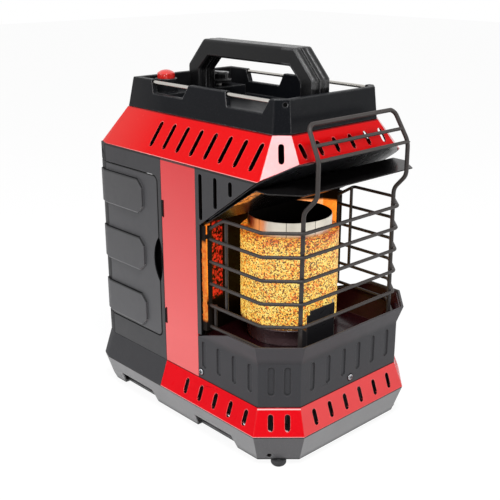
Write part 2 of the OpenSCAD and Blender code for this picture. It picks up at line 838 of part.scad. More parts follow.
module handle_layer(x0, x1) {
    low = tray_floor;
    inner_y = leg_t;
    inner_top = z_top - bar_t;
    step = 15.4;
    difference() {
        along_x(x0, x1) polygon([[handle_y0, low], [handle_y0, z_top - shoulder_z],
            [handle_y0 + shoulder_y, z_top], [handle_y1 - shoulder_y, z_top],
            [handle_y1, z_top - shoulder_z], [handle_y1, low], [handle_y1 - inner_y, low],
            [handle_y1 - inner_y, inner_top - step], [handle_y1 - inner_y - step, inner_top],
            [handle_y0 + inner_y + step, inner_top], [handle_y0 + inner_y, inner_top - step],
            [handle_y0 + inner_y, low]]);
        for (p = HANDLE_SCREWS) translate([3.5 - handle_w/2, p[0], p[1]]) rotate([0, 90, 0]) {
            cylinder(r = screw_hole_r, h = far);
            translate([0, 0, handle_w - 5.5]) cylinder(r = screw_head_r + touch, h = far);
        }
    }
}

module handle_core() {
    color("black") handle_layer(-core_w/2, core_w/2);
}

module left_grip() {
    color("black") handle_layer(-core_w/2 - grip_w, -core_w/2);
}

module right_grip() {
    color("black") handle_layer(core_w/2, core_w/2 + grip_w);
}

module handle_screws() {
    color("silver") for (p = HANDLE_SCREWS) translate([handle_w/2 - 2, p[0], p[1]]) rotate([0, -90, 0]) {
        translate([0, 0, -screw_head_h]) cylinder(r = screw_head_r, h = screw_head_h);
        cylinder(r = screw_r, h = handle_w - 6);
    }
}

module bulkhead() {
    w = half_w - 2;
    color("silver") translate([-w, bulkhead_y0, bulkhead_z0])
        cube([2*w, sheet_t, z_hood - 1.5 - bulkhead_z0]);
}

module heat_reflector() {
    x0 = half_w - 4.8;
    y0 = liner_end + 2;
    y4 = burner_y + mesh_r + 5;
    half = [[x0, y0], [x0 - 8, y0 + 18], [x0 - 30, y4 - 6], [x0 - 62, y4]];
    path = concat(half, [for (i = [3:-1:0]) [-half[i][0], half[i][1]]]);
    top = concat([for (p = path) p], [for (i = [len(path) - 1:-1:0]) [path[i][0], path[i][1] + 1.3]]);
    color("silver") translate([0, 0, ring_z + touch]) linear_extrude(z_ceiling + 2.3 - ring_z) polygon(top);
}

// Bent sheet: a line in Y and Z with its thickness below, within a plan outline
module bent_sheet(line, plan, t) {
    low = [for (i = [len(line) - 1:-1:0]) [line[i][0], line[i][1] - t]];
    intersection() {
        along_x(-far/2, far/2) polygon(concat(line, low));
        linear_extrude(far) polygon(plan);
    }
}

function mirrored(half) = concat(half, [for (i = [len(half) - 1:-1:0]) [-half[i][0], half[i][1]]]);

module upper_deflector() {
    x = half_w - wall_t - touch;
    rear = leg_y - 12;
    knee = y_front + 13.5;
    lip = y_front - 4.2;
    line = [[rear, ceiling(rear) - touch], [knee, ceiling(knee) - touch], [lip, ceiling(knee) + 5.2]];
    color("black") bent_sheet(line, mirrored([[x, rear], [x, ceiling_at(z_hood) + over],
        [half_w - front_cut_x + touch, knee], [half_w - front_cut_x + touch, lip]]), sheet_t);
}

module lower_deflector() {
    x = half_w - 4.7;
    z0 = z_ceiling + 4;
    knee = leg_y - 8;
    crest = y_front + 39.5;
    top = ceiling(crest) - 5.8;
    lip = y_front - 4.4;
    color("black") bent_sheet([[burner_y + mesh_r + 4, z0], [knee, z0], [crest, top], [lip, top - 0.6]],
        mirrored([[x, burner_y + mesh_r + 4], [x, y_front + 23], [x - 22, lip]]), sheet_t);
}

module tube(r, t, h) {
    difference() {
        cylinder(r = r, h = h);
        translate([0, 0, -over]) cylinder(r = r - t, h = h + 2*over);
    }
}

module burner_ring() {
    color("dimgray") translate([0, burner_y, ring_z]) {
        tube(band_r + 0.6, 1, ring_h);
        translate([0, 0, ring_h - 1.2]) tube(mesh_r, mesh_r - band_r, 1.2);
    }
}

module burner_mesh() {
    color("gold") translate([0, burner_y, mesh_z]) {
        tube(mesh_r, mesh_t, mesh_h);
        translate([0, 0, mesh_h - 1.2]) tube(mesh_r, mesh_r - band_r - touch, 1.2);
    }
}

module burner_band() {
    skirt = 6;
    color("silver") translate([0, burner_y, band_z - skirt]) tube(band_r, band_t, band_h + skirt);
}

module flame_tube() {
    color("dimgray") translate([0, burner_y, ring_z]) {
        tube(flame_r, 1, mesh_h);
        tube(flame_r + 4, flame_r + 4 - mixer_r - 0.6, 1);
    }
}

module mixer_tube() {
    color("silver") translate([0, burner_y, mixer_z]) tube(mixer_r, 1.5, ring_z + 14 - mixer_z);
}

module gas_injector() {
    color("gold") translate([0, burner_y, injector_z]) difference() {
        union() {
            cylinder(r = 7, h = injector_h);
            translate([0, 0, injector_h - over]) cylinder(r = 3, h = over + 2);
        }
        translate([0, 0, injector_h/2]) rotate([-90, 0, 0]) cylinder(r = pipe_r + touch, h = 20);
        translate([0, 0, injector_h/2]) cylinder(r = 1, h = injector_h);
    }
}

module burner_stand() {
    top = liner_z - touch;
    color("silver") difference() {
        translate([0, burner_y, 0]) {
            both() translate([stand_x - sheet_t, -stand_y, z_floor])
                cube([sheet_t, 2*stand_y, top - z_floor]);
            translate([-stand_x, -stand_y, top - sheet_t]) cube([2*stand_x, 2*stand_y, sheet_t]);
            translate([-stand_x, -stand_y/2, shelf_z]) cube([2*stand_x, stand_y, sheet_t]);
        }
        translate([0, burner_y, liner_z - 5]) cylinder(r = mixer_r + 0.2, h = 10);
    }
}

module pilot_burner() {
    color("dimgray") at(PILOT, ring_z) difference() {
        union() {
            translate([-22, -5, 0]) cube([50, 11, 1]);
            translate([-22, -5, 0.5]) cube([44, 1.2, shield_h - 5]);
            translate([-17, -5, shield_h - 8]) cube([39, 1.2, 8]);
            translate([-22, -5, 0.5]) cube([1.2, 9, 30]);
            translate([-13, -2.6, 0.5]) cube([9, 6.6, 16]);
            translate([-8.5, 0.6, 16]) cylinder(r = 2.6, h = 20);
            translate([-11.5, -2, 35]) cube([6, 5.2, 8]);
        }
        translate([12, 0.6, -over]) cylinder(r = 2.1, h = 4);
        translate([25, 0.6, -over]) cylinder(r = 2.1, h = 4);
    }
}

module spark_electrode() {
    color("white") at(PILOT, ring_z + 1 + touch) {
        translate([25, 0.6, 0]) cylinder(r = 2.4, h = 22);
        translate([25, 0.6, 21]) cylinder(r = 0.9, h = shield_h - 21);
    }
}

module thermocouple() {
    color("silver") at(PILOT, ring_z + 1 + touch) {
        translate([12, 0.6, 0]) cylinder(r = 2.3, h = 18);
        translate([12, 0.6, 17]) cylinder(r = 1.5, h = 24);
    }
}

module guard_frame() {
    path = both_ways(FRAME_HALF);
    color("dimgray") wire(path, heavy_r);
}

// Cross bars butt against the sloping uprights at these shares of their upper leg
module guard_cross_bars() {
    a = FRAME_HALF[3];
    b = FRAME_HALF[4];
    color("dimgray") for (t = [0, 0.47]) {
        p = a + (b - a)*t;
        x = p[0] - (t == 0 ? bend_ratio : 1)*heavy_r - 3*touch;
        rod([-x, p[1], p[2]], [x, p[1], p[2]], light_r);
    }
}

function loop_half(z) = [[guard_x, guard_end, z], [guard_x, guard_y + guard_corner_y, z],
    [guard_front_x, guard_y, z]];

function both_ways(half) = concat(half,
    [for (i = [len(half) - 1:-1:0]) [-half[i][0], half[i][1], half[i][2]]]);

module guard_rail() {
    color("dimgray") wire(both_ways(loop_half(rail_z)), light_r, ball = 1.12);
}

module guard_loop(i) {
    color("dimgray") wire(both_ways(loop_half(rail_z + i*loop_pitch)), light_r);
}

module guard_loop_1() {
    guard_loop(1);
}

module guard_loop_2() {
    guard_loop(2);
}

module guard_loop_3() {
    guard_loop(3);
}

module guard_loop_4() {
    guard_loop(4);
}

module guard_top_loop() {
    bend_y = leg_y - 29;
    plain = loop_half(top_loop_z);
    half = [[guard_x, guard_end - 1.1, top_loop_z - 13.7], [guard_x, bend_y, top_loop_z],
        plain[1], plain[2]];
    color("dimgray") wire(both_ways(half), light_r);
}

module guard_stays() {
    x = guard_x - 2*light_r - fit;
    color("dimgray") both() {
        rod([x, leg_y - 29, rail_z + loop_pitch], [x, leg_y - 29, top_loop_z - 1.7], light_r);
        rod([x, guard_end - 4, rail_z], [x, guard_end - 4, rail_z + loop_pitch], light_r);
    }
}

module guard_brackets() {
    y0 = guard_end + touch;
    z0 = rail_z - 4;
    z1 = z_ceiling - 1;
    x1 = half_w - wall_t - touch;
    strip = light_r + 0.5;
    color("dimgray") both() {
        translate([guard_x - strip, y0, z0]) cube([2*strip, bracket_t, z1 - z0]);
        for (tab = [[z0, 31], [top_loop_z - 24.5, 5]])
            translate([guard_x, y0, tab[0]]) cube([x1 - guard_x, bracket_t, tab[1]]);
        translate([x1 - bracket_t, y0, z0]) cube([bracket_t, column_front - 1 - y0, z1 - z0]);
    }
}

module regulator() {
    color("gray") at(BOTTLE, 0) difference() {
        union() {
            translate([0, 0, socket_z]) cylinder(r = 17, h = regulator_z - socket_z);
            translate([0, 0, regulator_z]) cylinder(r = regulator_r, h = 18);
            translate([0, 0, regulator_z + 18]) cylinder(r = 19, h = regulator_top - regulator_z - 18);
            translate([10, -5, regulator_z + 4]) cube([regulator_r - 6, 10, 10]);
        }
        translate([0, 0, socket_z - over]) cylinder(r = socket_r, h = socket_l + over);
        translate([regulator_r - 4, 0, regulator_z + 9]) rotate([0, 90, 0])
            cylinder(r = pipe_r + touch, h = 20);
    }
}

module regulator_bracket() {
    color("silver") {
        translate([BOTTLE[0] - 20, bulkhead_y1 + touch, regulator_top + touch])
            cube([40, BOTTLE[1] + 15 - bulkhead_y1, sheet_t]);
        translate([BOTTLE[0] - 20, bulkhead_y1 + touch, regulator_top - 18]) cube([40, sheet_t, 19]);
    }
}

module cylinder_cradle() {
    color("dimgray") at(BOTTLE, 0) {
        translate([0, 0, cradle_z]) difference() {
            cylinder(r = cradle_r, h = cradle_t);
            translate([0, 0, -over]) cylinder(r = drain_r, h = cradle_t + 2*over);
        }
        translate([0, 0, cradle_z + cradle_t - touch]) tube(cradle_r, 2.5, 9);
        for (a = [0, 90, 180, 270]) rotate([0, 0, a + 45]) translate([34, 0, z_floor + touch])
            cylinder(r = 4, h = cradle_z - z_floor);
    }
}

module supply_pipe() {
    start = [BOTTLE[0] + regulator_r - 3.5, BOTTLE[1], regulator_z + 9];
    valve_low = valve_z1 - valve_h - touch;
    color("silver") wire([start, [KNOB[0] - 5, BOTTLE[1], regulator_z + 9],
        [KNOB[0] - 5, KNOB[1], valve_low - 14], [KNOB[0] - 5, KNOB[1], valve_low]], pipe_r,
        elbow_cut, elbow_ball);
}

module burner_pipe() {
    valve_low = valve_z1 - valve_h - touch;
    p = PIPE_RISER;
    color("silver") wire([[0, burner_y + 4, pipe_z], [0, pipe_turn_y, pipe_z], [p[0], p[1], pipe_z],
        [p[0], p[1], valve_low - 30], [KNOB[0] + 5, KNOB[1], valve_low - 8],
        [KNOB[0] + 5, KNOB[1], valve_low]], pipe_r, elbow_cut, elbow_ball);
}

module control_valve() {
    color("gold") difference() {
        translate([KNOB[0] - valve_w/2, KNOB[1] - valve_w/2, valve_z1 - valve_h])
            cube([valve_w, valve_w, valve_h]);
        at(KNOB, stem_low) cylinder(r = stem_r + fit, h = far);
    }
}

module valve_stem() {
    color("silver") at(KNOB, stem_low) cylinder(r = stem_r, h = stem_top - stem_low);
}

module control_knob() {
    color("black") at(KNOB, knob_z) difference() {
        union() {
            cylinder(r = knob_r, h = 4);
            cylinder(r = knob_r - 3, h = knob_h - over);
            translate([-3, -knob_r + 3.5, 0]) cube([6, 2*knob_r - 7, knob_h]);
        }
        translate([0, 0, -over]) cylinder(r = stem_r + fit, h = knob_bore_l + over);
    }
}

module igniter_body() {
    barrel = button_r - 1.2;
    color("silver") at(BUTTON, deck_z) difference() {
        union() {
            translate([0, 0, -34]) cylinder(r = barrel, h = 35);
            cylinder(r = collar_r, h = collar_h);
        }
        translate([0, 0, collar_h - 5 - button_travel - 0.5]) cylinder(r = button_r + fit, h = far);
    }
}

module igniter_button() {
    h = button_top - button_z;
    crown = 4;
    color("red") at(BUTTON, button_z) {
        cylinder(r = button_r, h = h - crown);
        translate([0, 0, h - crown]) rotate_extrude() intersection() {
            translate([0, crown - (pow(button_r, 2) + pow(crown, 2))/(2*crown)])
                circle(r = (pow(button_r, 2) + pow(crown, 2))/(2*crown), $fn = 96);
            square([button_r, crown]);
        }
    }
}

module tip_switch() {
    z0 = z_floor;
    color("white") at(SWITCH, z0) difference() {
        union() {
            translate([-15, -8, 0]) cube([30, 16, 2]);
            both() translate([switch_half, -7, 0]) cube([2, 14, switch_pivot + 4]);
        }
        translate([-20, 0, switch_pivot]) rotate([0, 90, 0]) cylinder(r = 1.25 + fit, h = 40);
    }
}

module tip_pendulum() {
    color("gold") at(SWITCH, z_floor + switch_pivot) {
        translate([-switch_half - 1.5, 0, 0]) rotate([0, 90, 0]) cylinder(r = 1.25, h = 2*switch_half + 3);
        translate([0, 0, -12]) cylinder(r = 1.5, h = 12);
        translate([0, 0, -13]) cylinder(r = 5, h = 6);
    }
}

base_pan();
rubber_feet();
front_skirt();
rear_skirt();
side_frame();
cylinder_door();
door_hinge_pins();
door_catch();
right_side_panel();
back_panel();
left_column();
right_column();
left_vent_panel();
right_vent_panel();
front_basin();
basin_liner();
hood();
top_tray();
tray_rods();
handle_core();
left_grip();
right_grip();
handle_screws();
case_screws();
bulkhead();
heat_reflector();
upper_deflector();
lower_deflector();
burner_mesh();
burner_band();
burner_ring();
flame_tube();
mixer_tube();
gas_injector();
burner_stand();
pilot_burner();
spark_electrode();
thermocouple();
guard_frame();
guard_cross_bars();
guard_rail();
guard_loop_1();
guard_loop_2();
guard_loop_3();
guard_loop_4();
guard_top_loop();
guard_stays();
guard_brackets();
regulator();
regulator_bracket();
cylinder_cradle();
supply_pipe();
burner_pipe();
control_valve();
valve_stem();
control_knob();
igniter_body();
igniter_button();
tip_switch();
tip_pendulum();
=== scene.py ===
import json
import math

import bmesh
import bpy
from mathutils import Matrix, Vector


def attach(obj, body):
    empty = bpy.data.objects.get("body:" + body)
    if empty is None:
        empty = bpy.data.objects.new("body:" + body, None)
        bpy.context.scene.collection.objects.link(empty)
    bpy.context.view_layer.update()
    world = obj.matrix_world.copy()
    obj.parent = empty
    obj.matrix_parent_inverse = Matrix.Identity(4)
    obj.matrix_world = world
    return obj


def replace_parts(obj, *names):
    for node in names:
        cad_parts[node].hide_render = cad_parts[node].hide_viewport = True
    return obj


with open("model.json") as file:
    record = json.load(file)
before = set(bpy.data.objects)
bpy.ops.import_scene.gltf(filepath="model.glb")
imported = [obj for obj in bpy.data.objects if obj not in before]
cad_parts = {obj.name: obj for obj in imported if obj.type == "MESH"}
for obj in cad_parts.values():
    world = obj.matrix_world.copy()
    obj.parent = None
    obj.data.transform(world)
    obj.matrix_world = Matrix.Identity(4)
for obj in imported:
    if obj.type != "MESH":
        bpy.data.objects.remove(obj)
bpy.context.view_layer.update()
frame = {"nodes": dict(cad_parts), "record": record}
mm = 0.001
unlit = (0, 0, 0)


# Short ways to lay shader nodes: a value is another node's socket or a constant, and a socket knows its tree
def connect(node, values):
    for key, value in values.items():
        if isinstance(value, bpy.types.NodeSocket):
            node.id_data.links.new(value, node.inputs[key])
        else:
            node.inputs[key].default_value = value
    return node


def put(tree, kind, values=None, **settings):
    node = tree.nodes.new(kind)
    for key, value in settings.items():
        setattr(node, key, value)
    return connect(node, values or {})


def maths(operation, first, second=0.0, clamp=False):
    tree = next(value.id_data for value in (first, second) if isinstance(value, bpy.types.NodeSocket))
    return put(tree, "ShaderNodeMath", {0: first, 1: second}, operation=operation, use_clamp=clamp).outputs[0]


def plus(first, second, clamp=False):
    return maths("ADD", first, second, clamp)


def minus(first, second):
    return maths("SUBTRACT", first, second)


def times(first, second, clamp=False):
    return maths("MULTIPLY", first, second, clamp)


def rgba(colour):
    return colour if isinstance(colour, bpy.types.NodeSocket) else (*colour, 1.0)


def mixColour(share, first, second):
    ends = {0: share, 6: rgba(first), 7: rgba(second)}
    return put(share.id_data, "ShaderNodeMix", ends, data_type="RGBA").outputs[2]


def mapped(value, fromLow, fromHigh, toLow=0.0, toHigh=1.0):
    ends = {"Value": value, "From Min": fromLow, "From Max": fromHigh, "To Min": toLow, "To Max": toHigh}
    return put(value.id_data, "ShaderNodeMapRange", ends).outputs[0]


def noise(where, scale, detail, **more):
    values = {"Vector": where, "Scale": scale, "Detail": detail, **more}
    return put(where.id_data, "ShaderNodeTexNoise", values).outputs[0]


def apart(vector):
    return put(vector.id_data, "ShaderNodeSeparateXYZ", {"Vector": vector}).outputs


def stretched(where, scale):
    return put(where.id_data, "ShaderNodeMapping", {"Vector": where, "Scale": scale}).outputs[0]


def bumped(height, strength, depth):
    values = {"Strength": strength, "Distance": depth, "Height": height}
    return put(height.id_data, "ShaderNodeBump", values).outputs[0]


def colourRamp(value, stops):
    node = put(value.id_data, "ShaderNodeValToRGB", {"Fac": value})
    elements = node.color_ramp.elements
    for spot, colour in stops[1:-1]:
        elements.new(spot).color = rgba(colour)
    for element, (spot, colour) in ((elements[0], stops[0]), (elements[-1], stops[-1])):
        element.position, element.color = spot, rgba(colour)
    return node.outputs[0]


def emptyTree(owner):
    owner.use_nodes = True
    owner.node_tree.nodes.clear()
    return owner.node_tree


def addObject(name, data):
    thing = bpy.data.objects.new(name, data)
    bpy.context.scene.collection.objects.link(thing)
    return thing


# Camera, lamps, world and floor
studio = {
    "cameraAt": (-667.5, -702.2, 521.1), "lookAt": (0.3, 14.2, 187.0), "lens": 61.8, "sensor": 36,
    "nearest": 0.05, "farthest": 40, "lampsAim": (0, 0, 0.2), "ambient": 0.34,
    "lamps": [("keyPanel", (-526, -683, 1550), (0.40, 0.40), 16.5, (1, 1, 1)),
              ("frontPanel", (950, -1500, 420), (0.9, 0.55), 4.5, (1, 0.99, 0.98)),
              ("leftPanel", (-1500, 500, 700), (0.8, 0.8), 8, (0.99, 0.99, 1))],
    "floorSize": 12.0, "floorCells": 4, "floorWhite": 0.86, "floorGlow": 1.07,
    "paper": ((0.93, 0.93, 0.93), (0.97, 0.97, 0.97)), "fibres": 9.0, "paperRough": 0.9, "paperShine": 0.1,
}


def aimAt(thing, target):
    away = thing.location - Vector(target)
    thing.rotation_euler = away.to_track_quat("Z", "Y").to_euler()


def setUpCamera():
    lens = bpy.data.cameras.new("heaterCamera")
    lens.lens = studio["lens"]
    lens.sensor_width = studio["sensor"]
    lens.clip_start, lens.clip_end = studio["nearest"], studio["farthest"]
    camera = addObject("heaterCamera", lens)
    camera.location = Vector(studio["cameraAt"]) * mm
    aimAt(camera, Vector(studio["lookAt"]) * mm)
    bpy.context.scene.camera = camera


def setUpLamps():
    for name, spot, size, power, tint in studio["lamps"]:
        light = bpy.data.lights.new(name, "AREA")
        light.shape = "RECTANGLE"
        light.size, light.size_y = size
        light.energy = power
        light.color = tint
        lamp = addObject(name, light)
        lamp.location = Vector(spot) * mm
        aimAt(lamp, studio["lampsAim"])


def seenDirectly(tree):
    path = put(tree, "ShaderNodeLightPath").outputs
    either = maths("MAXIMUM", path["Is Camera Ray"], path["Is Glossy Ray"])
    return maths("MAXIMUM", either, path["Is Transmission Ray"])


def setUpWorld():
    world = bpy.data.worlds.new("whiteStudio")
    bpy.context.scene.world = world
    tree = emptyTree(world)
    lit = put(tree, "ShaderNodeBackground", {"Color": rgba((1, 1, 1)), "Strength": studio["ambient"]})
    seen = put(tree, "ShaderNodeBackground", {"Color": rgba((1, 1, 1)), "Strength": 1.0})
    both = put(tree, "ShaderNodeMixShader", {0: seenDirectly(tree), 1: lit.outputs[0], 2: seen.outputs[0]})
    put(tree, "ShaderNodeOutputWorld", {"Surface": both.outputs[0]})


def setUpFloor():
    shape = bmesh.new()
    cells = studio["floorCells"]
    bmesh.ops.create_grid(shape, x_segments=cells, y_segments=cells, size=studio["floorSize"] / 2)
    floor = addObject("studioFloor", bpy.data.meshes.new("studioFloor"))
    shape.to_mesh(floor.data)
    shape.free()
    paper = bpy.data.materials.new("paperSweep")
    tree = emptyTree(paper)
    where = put(tree, "ShaderNodeTexCoord").outputs["Object"]
    tone = mixColour(noise(where, studio["fibres"], 4.0), *studio["paper"])
    matt = put(tree, "ShaderNodeBsdfPrincipled", {
        "Base Color": tone, "Roughness": studio["paperRough"], "Specular IOR Level": studio["paperShine"]})
    glow = put(tree, "ShaderNodeEmission", {"Color": rgba((1, 1, 1)), "Strength": studio["floorGlow"]})
    share = times(seenDirectly(tree), studio["floorWhite"])
    both = put(tree, "ShaderNodeMixShader", {0: share, 1: matt.outputs[0], 2: glow.outputs[0]})
    put(tree, "ShaderNodeOutputMaterial", {"Surface": both.outputs[0]})
    floor.data.materials.append(paper)


setUpCamera()
setUpLamps()
setUpWorld()
setUpFloor()
bpy.context.scene.view_settings.view_transform = "Standard"
print("studio ready")


# Effects that several finishes share
def newGroup(name, inputs, outputs):
    group = bpy.data.node_groups.new(name, "ShaderNodeTree")
    for title, start in inputs.items():
        kind = "NodeSocketVector" if start is None else "NodeSocketFloat"
        socket = group.interface.new_socket(title, in_out="INPUT", socket_type=kind)
        if start is not None:
            socket.default_value = start
    for title in outputs:
        group.interface.new_socket(title, in_out="OUTPUT", socket_type="NodeSocketFloat")
    return group, put(group, "NodeGroupInput").outputs, put(group, "NodeGroupOutput")


# Edges worn bright, with painted highlights along them, and chips that break both up
edgeWearAndHighlightLook = {"samples": 6, "gain": 7.0, "chipsLow": 0.36, "chipsHigh": 0.62, "leastWear": 0.45,
            "chipRoughness": 0.65}


def makeEdgeWearAndHighlight():
    inputs = {"Vector": None, "Radius": 0.0012, "Amount": 1.0, "Scale": 160.0}
    group, given, result = newGroup("edgeWearAndHighlight", inputs, ["Mask"])
    rounded = put(group, "ShaderNodeBevel", {"Radius": given["Radius"]}, samples=edgeWearAndHighlightLook["samples"])
    flat = put(group, "ShaderNodeNewGeometry").outputs["Normal"]
    along = put(group, "ShaderNodeVectorMath", {0: rounded.outputs[0], 1: flat}, operation="DOT_PRODUCT")
    edge = times(minus(1.0, along.outputs["Value"]), edgeWearAndHighlightLook["gain"], clamp=True)
    chips = noise(given["Vector"], given["Scale"], 5.0, Roughness=edgeWearAndHighlightLook["chipRoughness"])
    kept = mapped(chips, edgeWearAndHighlightLook["chipsLow"], edgeWearAndHighlightLook["chipsHigh"], edgeWearAndHighlightLook["leastWear"], 1.0)
    connect(result, {"Mask": times(times(edge, kept), given["Amount"], clamp=True)})
    return group


# Fine pebbled grain of a mould, with a few sparkling specks
mouldLook = {"sparkleFrom": 0.56, "sparkleTo": 0.75}


def makeMouldGrain():
    group, given, result = newGroup("mouldGrain", {"Vector": None, "Scale": 900.0}, ["Height", "Sparkle"])
    place = {"Vector": given["Vector"], "Scale": given["Scale"]}
    pebble = put(group, "ShaderNodeTexVoronoi", place, feature="SMOOTH_F1")
    fine = noise(given["Vector"], given["Scale"], 3.0)
    connect(result, {"Height": plus(pebble.outputs["Distance"], fine),
                     "Sparkle": mapped(fine, mouldLook["sparkleFrom"], mouldLook["sparkleTo"])})
    return group


# Marks of handling: broad clouds and finer, swirled smudges
handlingLook = {"cloudRoughness": 0.55, "finer": 4.0, "swirl": 1.4}


def makeHandling():
    inputs = {"Vector": None, "Scale": 14.0, "Contrast": 1.0}
    group, given, result = newGroup("handling", inputs, ["Smudge", "Cloud"])
    cloud = noise(given["Vector"], given["Scale"], 6.0, Roughness=handlingLook["cloudRoughness"])
    finer = times(given["Scale"], handlingLook["finer"])
    swirl = noise(given["Vector"], finer, 4.0, Distortion=handlingLook["swirl"])
    strong = times(minus(swirl, 0.5), given["Contrast"])
    connect(result, {"Cloud": cloud, "Smudge": plus(strong, 0.5, clamp=True)})
    return group


# Streaks of a brushed or drawn surface: the vector comes in stretched
brushingLook = {"fine": 1.0, "broad": 0.22, "roughness": 0.7}


def makeBrushing():
    group, given, result = newGroup("brushing", {"Vector": None}, ["Height", "Streak"])
    fine = noise(given["Vector"], brushingLook["fine"], 5.0, Roughness=brushingLook["roughness"])
    connect(result, {"Height": fine, "Streak": noise(given["Vector"], brushingLook["broad"], 2.0)})
    return group


# Painted shade in inner corners: the colour darkens where ambient occlusion finds a crevice
def makeCreviceShade():
    group, given, result = newGroup("creviceShade", {"Reach": 0.004, "Start": 0.72, "End": 0.36}, ["Mask"])
    sky = put(group, "ShaderNodeAmbientOcclusion", {"Distance": given["Reach"]}, samples=8)
    connect(result, {"Mask": mapped(sky.outputs["AO"], given["Start"], given["End"])})
    return group


# A level band between two heights
def makeHeightBand():
    inputs = {"Vector": None, "Low": 0.0, "High": 0.1, "Blend": 0.0004}
    group, given, result = newGroup("heightBand", inputs, ["Mask"])
    height = apart(given["Vector"])[2]
    above = mapped(height, given["Low"], plus(given["Low"], given["Blend"]))
    below = mapped(height, minus(given["High"], given["Blend"]), given["High"], 1.0, 0.0)
    connect(result, {"Mask": times(above, below)})
    return group


# Painted shade of the gap round the door: a dark line along three sides of its opening, with round corners
doorGap = {"Front": 0.0445, "Bottom": 0.0983, "Top": 0.2917, "Corner": 0.007, "Width": 0.0013}
gapCore = 0.7


def makeDoorGapShade():
    group, given, result = newGroup("doorGapShade", {"Vector": None, **doorGap}, ["Mask"])
    place = apart(given["Vector"])
    middle = times(plus(given["Bottom"], given["Top"]), 0.5)
    half = times(minus(given["Top"], given["Bottom"]), 0.5)
    up = maths("ABSOLUTE", minus(place[2], middle))
    over = plus(minus(up, half), given["Corner"])
    ahead = plus(minus(given["Front"], place[1]), given["Corner"])
    corner = put(group, "ShaderNodeCombineXYZ", {0: maths("MAXIMUM", over), 1: maths("MAXIMUM", ahead)})
    away = put(group, "ShaderNodeVectorMath", {0: corner.outputs[0]}, operation="LENGTH").outputs["Value"]
    inside = maths("MINIMUM", maths("MAXIMUM", over, ahead))
    gap = maths("ABSOLUTE", minus(plus(away, inside), given["Corner"]))
    core = times(given["Width"], gapCore)
    connect(result, {"Mask": mapped(gap, core, given["Width"], 1.0, 0.0)})
    return group


edgeWearAndHighlight = makeEdgeWearAndHighlight()
doorGapShade = makeDoorGapShade()
heightBand = makeHeightBand()
creviceShade = makeCreviceShade()
mouldGrain = makeMouldGrain()
handling = makeHandling()
brushing = makeBrushing()


def effect(where, group, **values):
    node = put(where.id_data, "ShaderNodeGroup", node_tree=group)
    if "Vector" in node.inputs:
        values["Vector"] = where
    return connect(node, values).outputs


# Every finish by its name
finish = {}


def startMaterial(name):
    finish[name] = bpy.data.materials.new(name)
    tree = emptyTree(finish[name])
    shader = put(tree, "ShaderNodeBsdfPrincipled")
    put(tree, "ShaderNodeOutputMaterial", {"Surface": shader.outputs[0]})
    return shader, put(tree, "ShaderNodeTexCoord").outputs["Object"]


# Moulded, painted and enamelled finishes: two tones in slow clouds, worn edges with painted highlights, handling
# marks, a fine grain and painted shade in the corners. Lengths are in mm. Tones are the two of the clouds and the
# worn and highlighted one, a band is (low, high, blend, colour) and a fade (start, end, colour); bands, fades and
# the door's gap line paint light and shade
plain = {
    "cloudScale": 14.0, "contrast": 1.3, "grain": 820.0, "fleck": 0.06, "bump": 0.20, "bumpDepth": 0.0002,
    "wear": 0.7, "wearAndHighlightRadius": 1.1, "bands": (), "fade": (), "gap": 0, "gapColour": (0.0025, 0.0025, 0.0027),
    "shade": 0.85, "shadeReach": 5.0, "shadeStart": 0.72, "shadeEnd": 0.36, "dirt": (0.003, 0.003, 0.003),
    "rough": (0.42, 0.56), "specular": 0.5, "coat": 0.0, "coatRough": 0.1,
}


def solidFinish(name, given):
    look = {**plain, **given}
    shader, where = startMaterial(name)
    marks = effect(where, handling, Scale=look["cloudScale"], Contrast=look["contrast"])
    grain = effect(where, mouldGrain, Scale=look["grain"])
    wornAndHighlight = effect(where, edgeWearAndHighlight, Radius=look["wearAndHighlightRadius"] * mm, Amount=look["wear"])
    first, second, rubbedAndHighlight = look["tones"]
    tone = mixColour(marks["Cloud"], first, second)
    tone = mixColour(times(grain["Sparkle"], look["fleck"]), tone, rubbedAndHighlight)
    tone = mixColour(wornAndHighlight["Mask"], tone, rubbedAndHighlight)
    # Bands and the fade: painted highlight lines, painted shade lines and painted light that grows towards one
    # end
    for low, high, blend, colour in look["bands"]:
        zone = effect(where, heightBand, Low=low * mm, High=high * mm, Blend=blend * mm)
        tone = mixColour(zone["Mask"], tone, colour)
    if look["fade"]:
        start, end, colour = look["fade"]
        tone = mixColour(mapped(apart(where)[1], start * mm, end * mm), tone, colour)
    # The door's gap line: painted shade
    if look["gap"]:
        line = effect(where, doorGapShade, Width=look["gap"] * mm)
        tone = mixColour(line["Mask"], tone, look["gapColour"])
    # Painted shade in crevices, slots and gaps
    creviceShadeMask = effect(where, creviceShade, Reach=look["shadeReach"] * mm, Start=look["shadeStart"], End=look["shadeEnd"])
    shade = times(creviceShadeMask["Mask"], look["shade"])
    connect(shader, {
        "Base Color": mixColour(shade, tone, look["dirt"]),
        "Roughness": mapped(marks["Smudge"], 0, 1, *look["rough"]),
        "Normal": bumped(grain["Height"], look["bump"], look["bumpDepth"]),
        "Specular IOR Level": look["specular"], "Coat Weight": look["coat"], "Coat Roughness": look["coatRough"]})


# Drawn, brushed or plated metal: streaks along one axis, smudges, bright worn edges with painted glints and a
# tint from heat
bareMetal = {
    "cloudScale": 22.0, "contrast": 1.6, "wearAndHighlightRadius": 0.6, "wear": 0.4, "chips": 220.0, "heat": 0.0, "bump": 0.2,
    "bumpDepth": 0.0001,
}


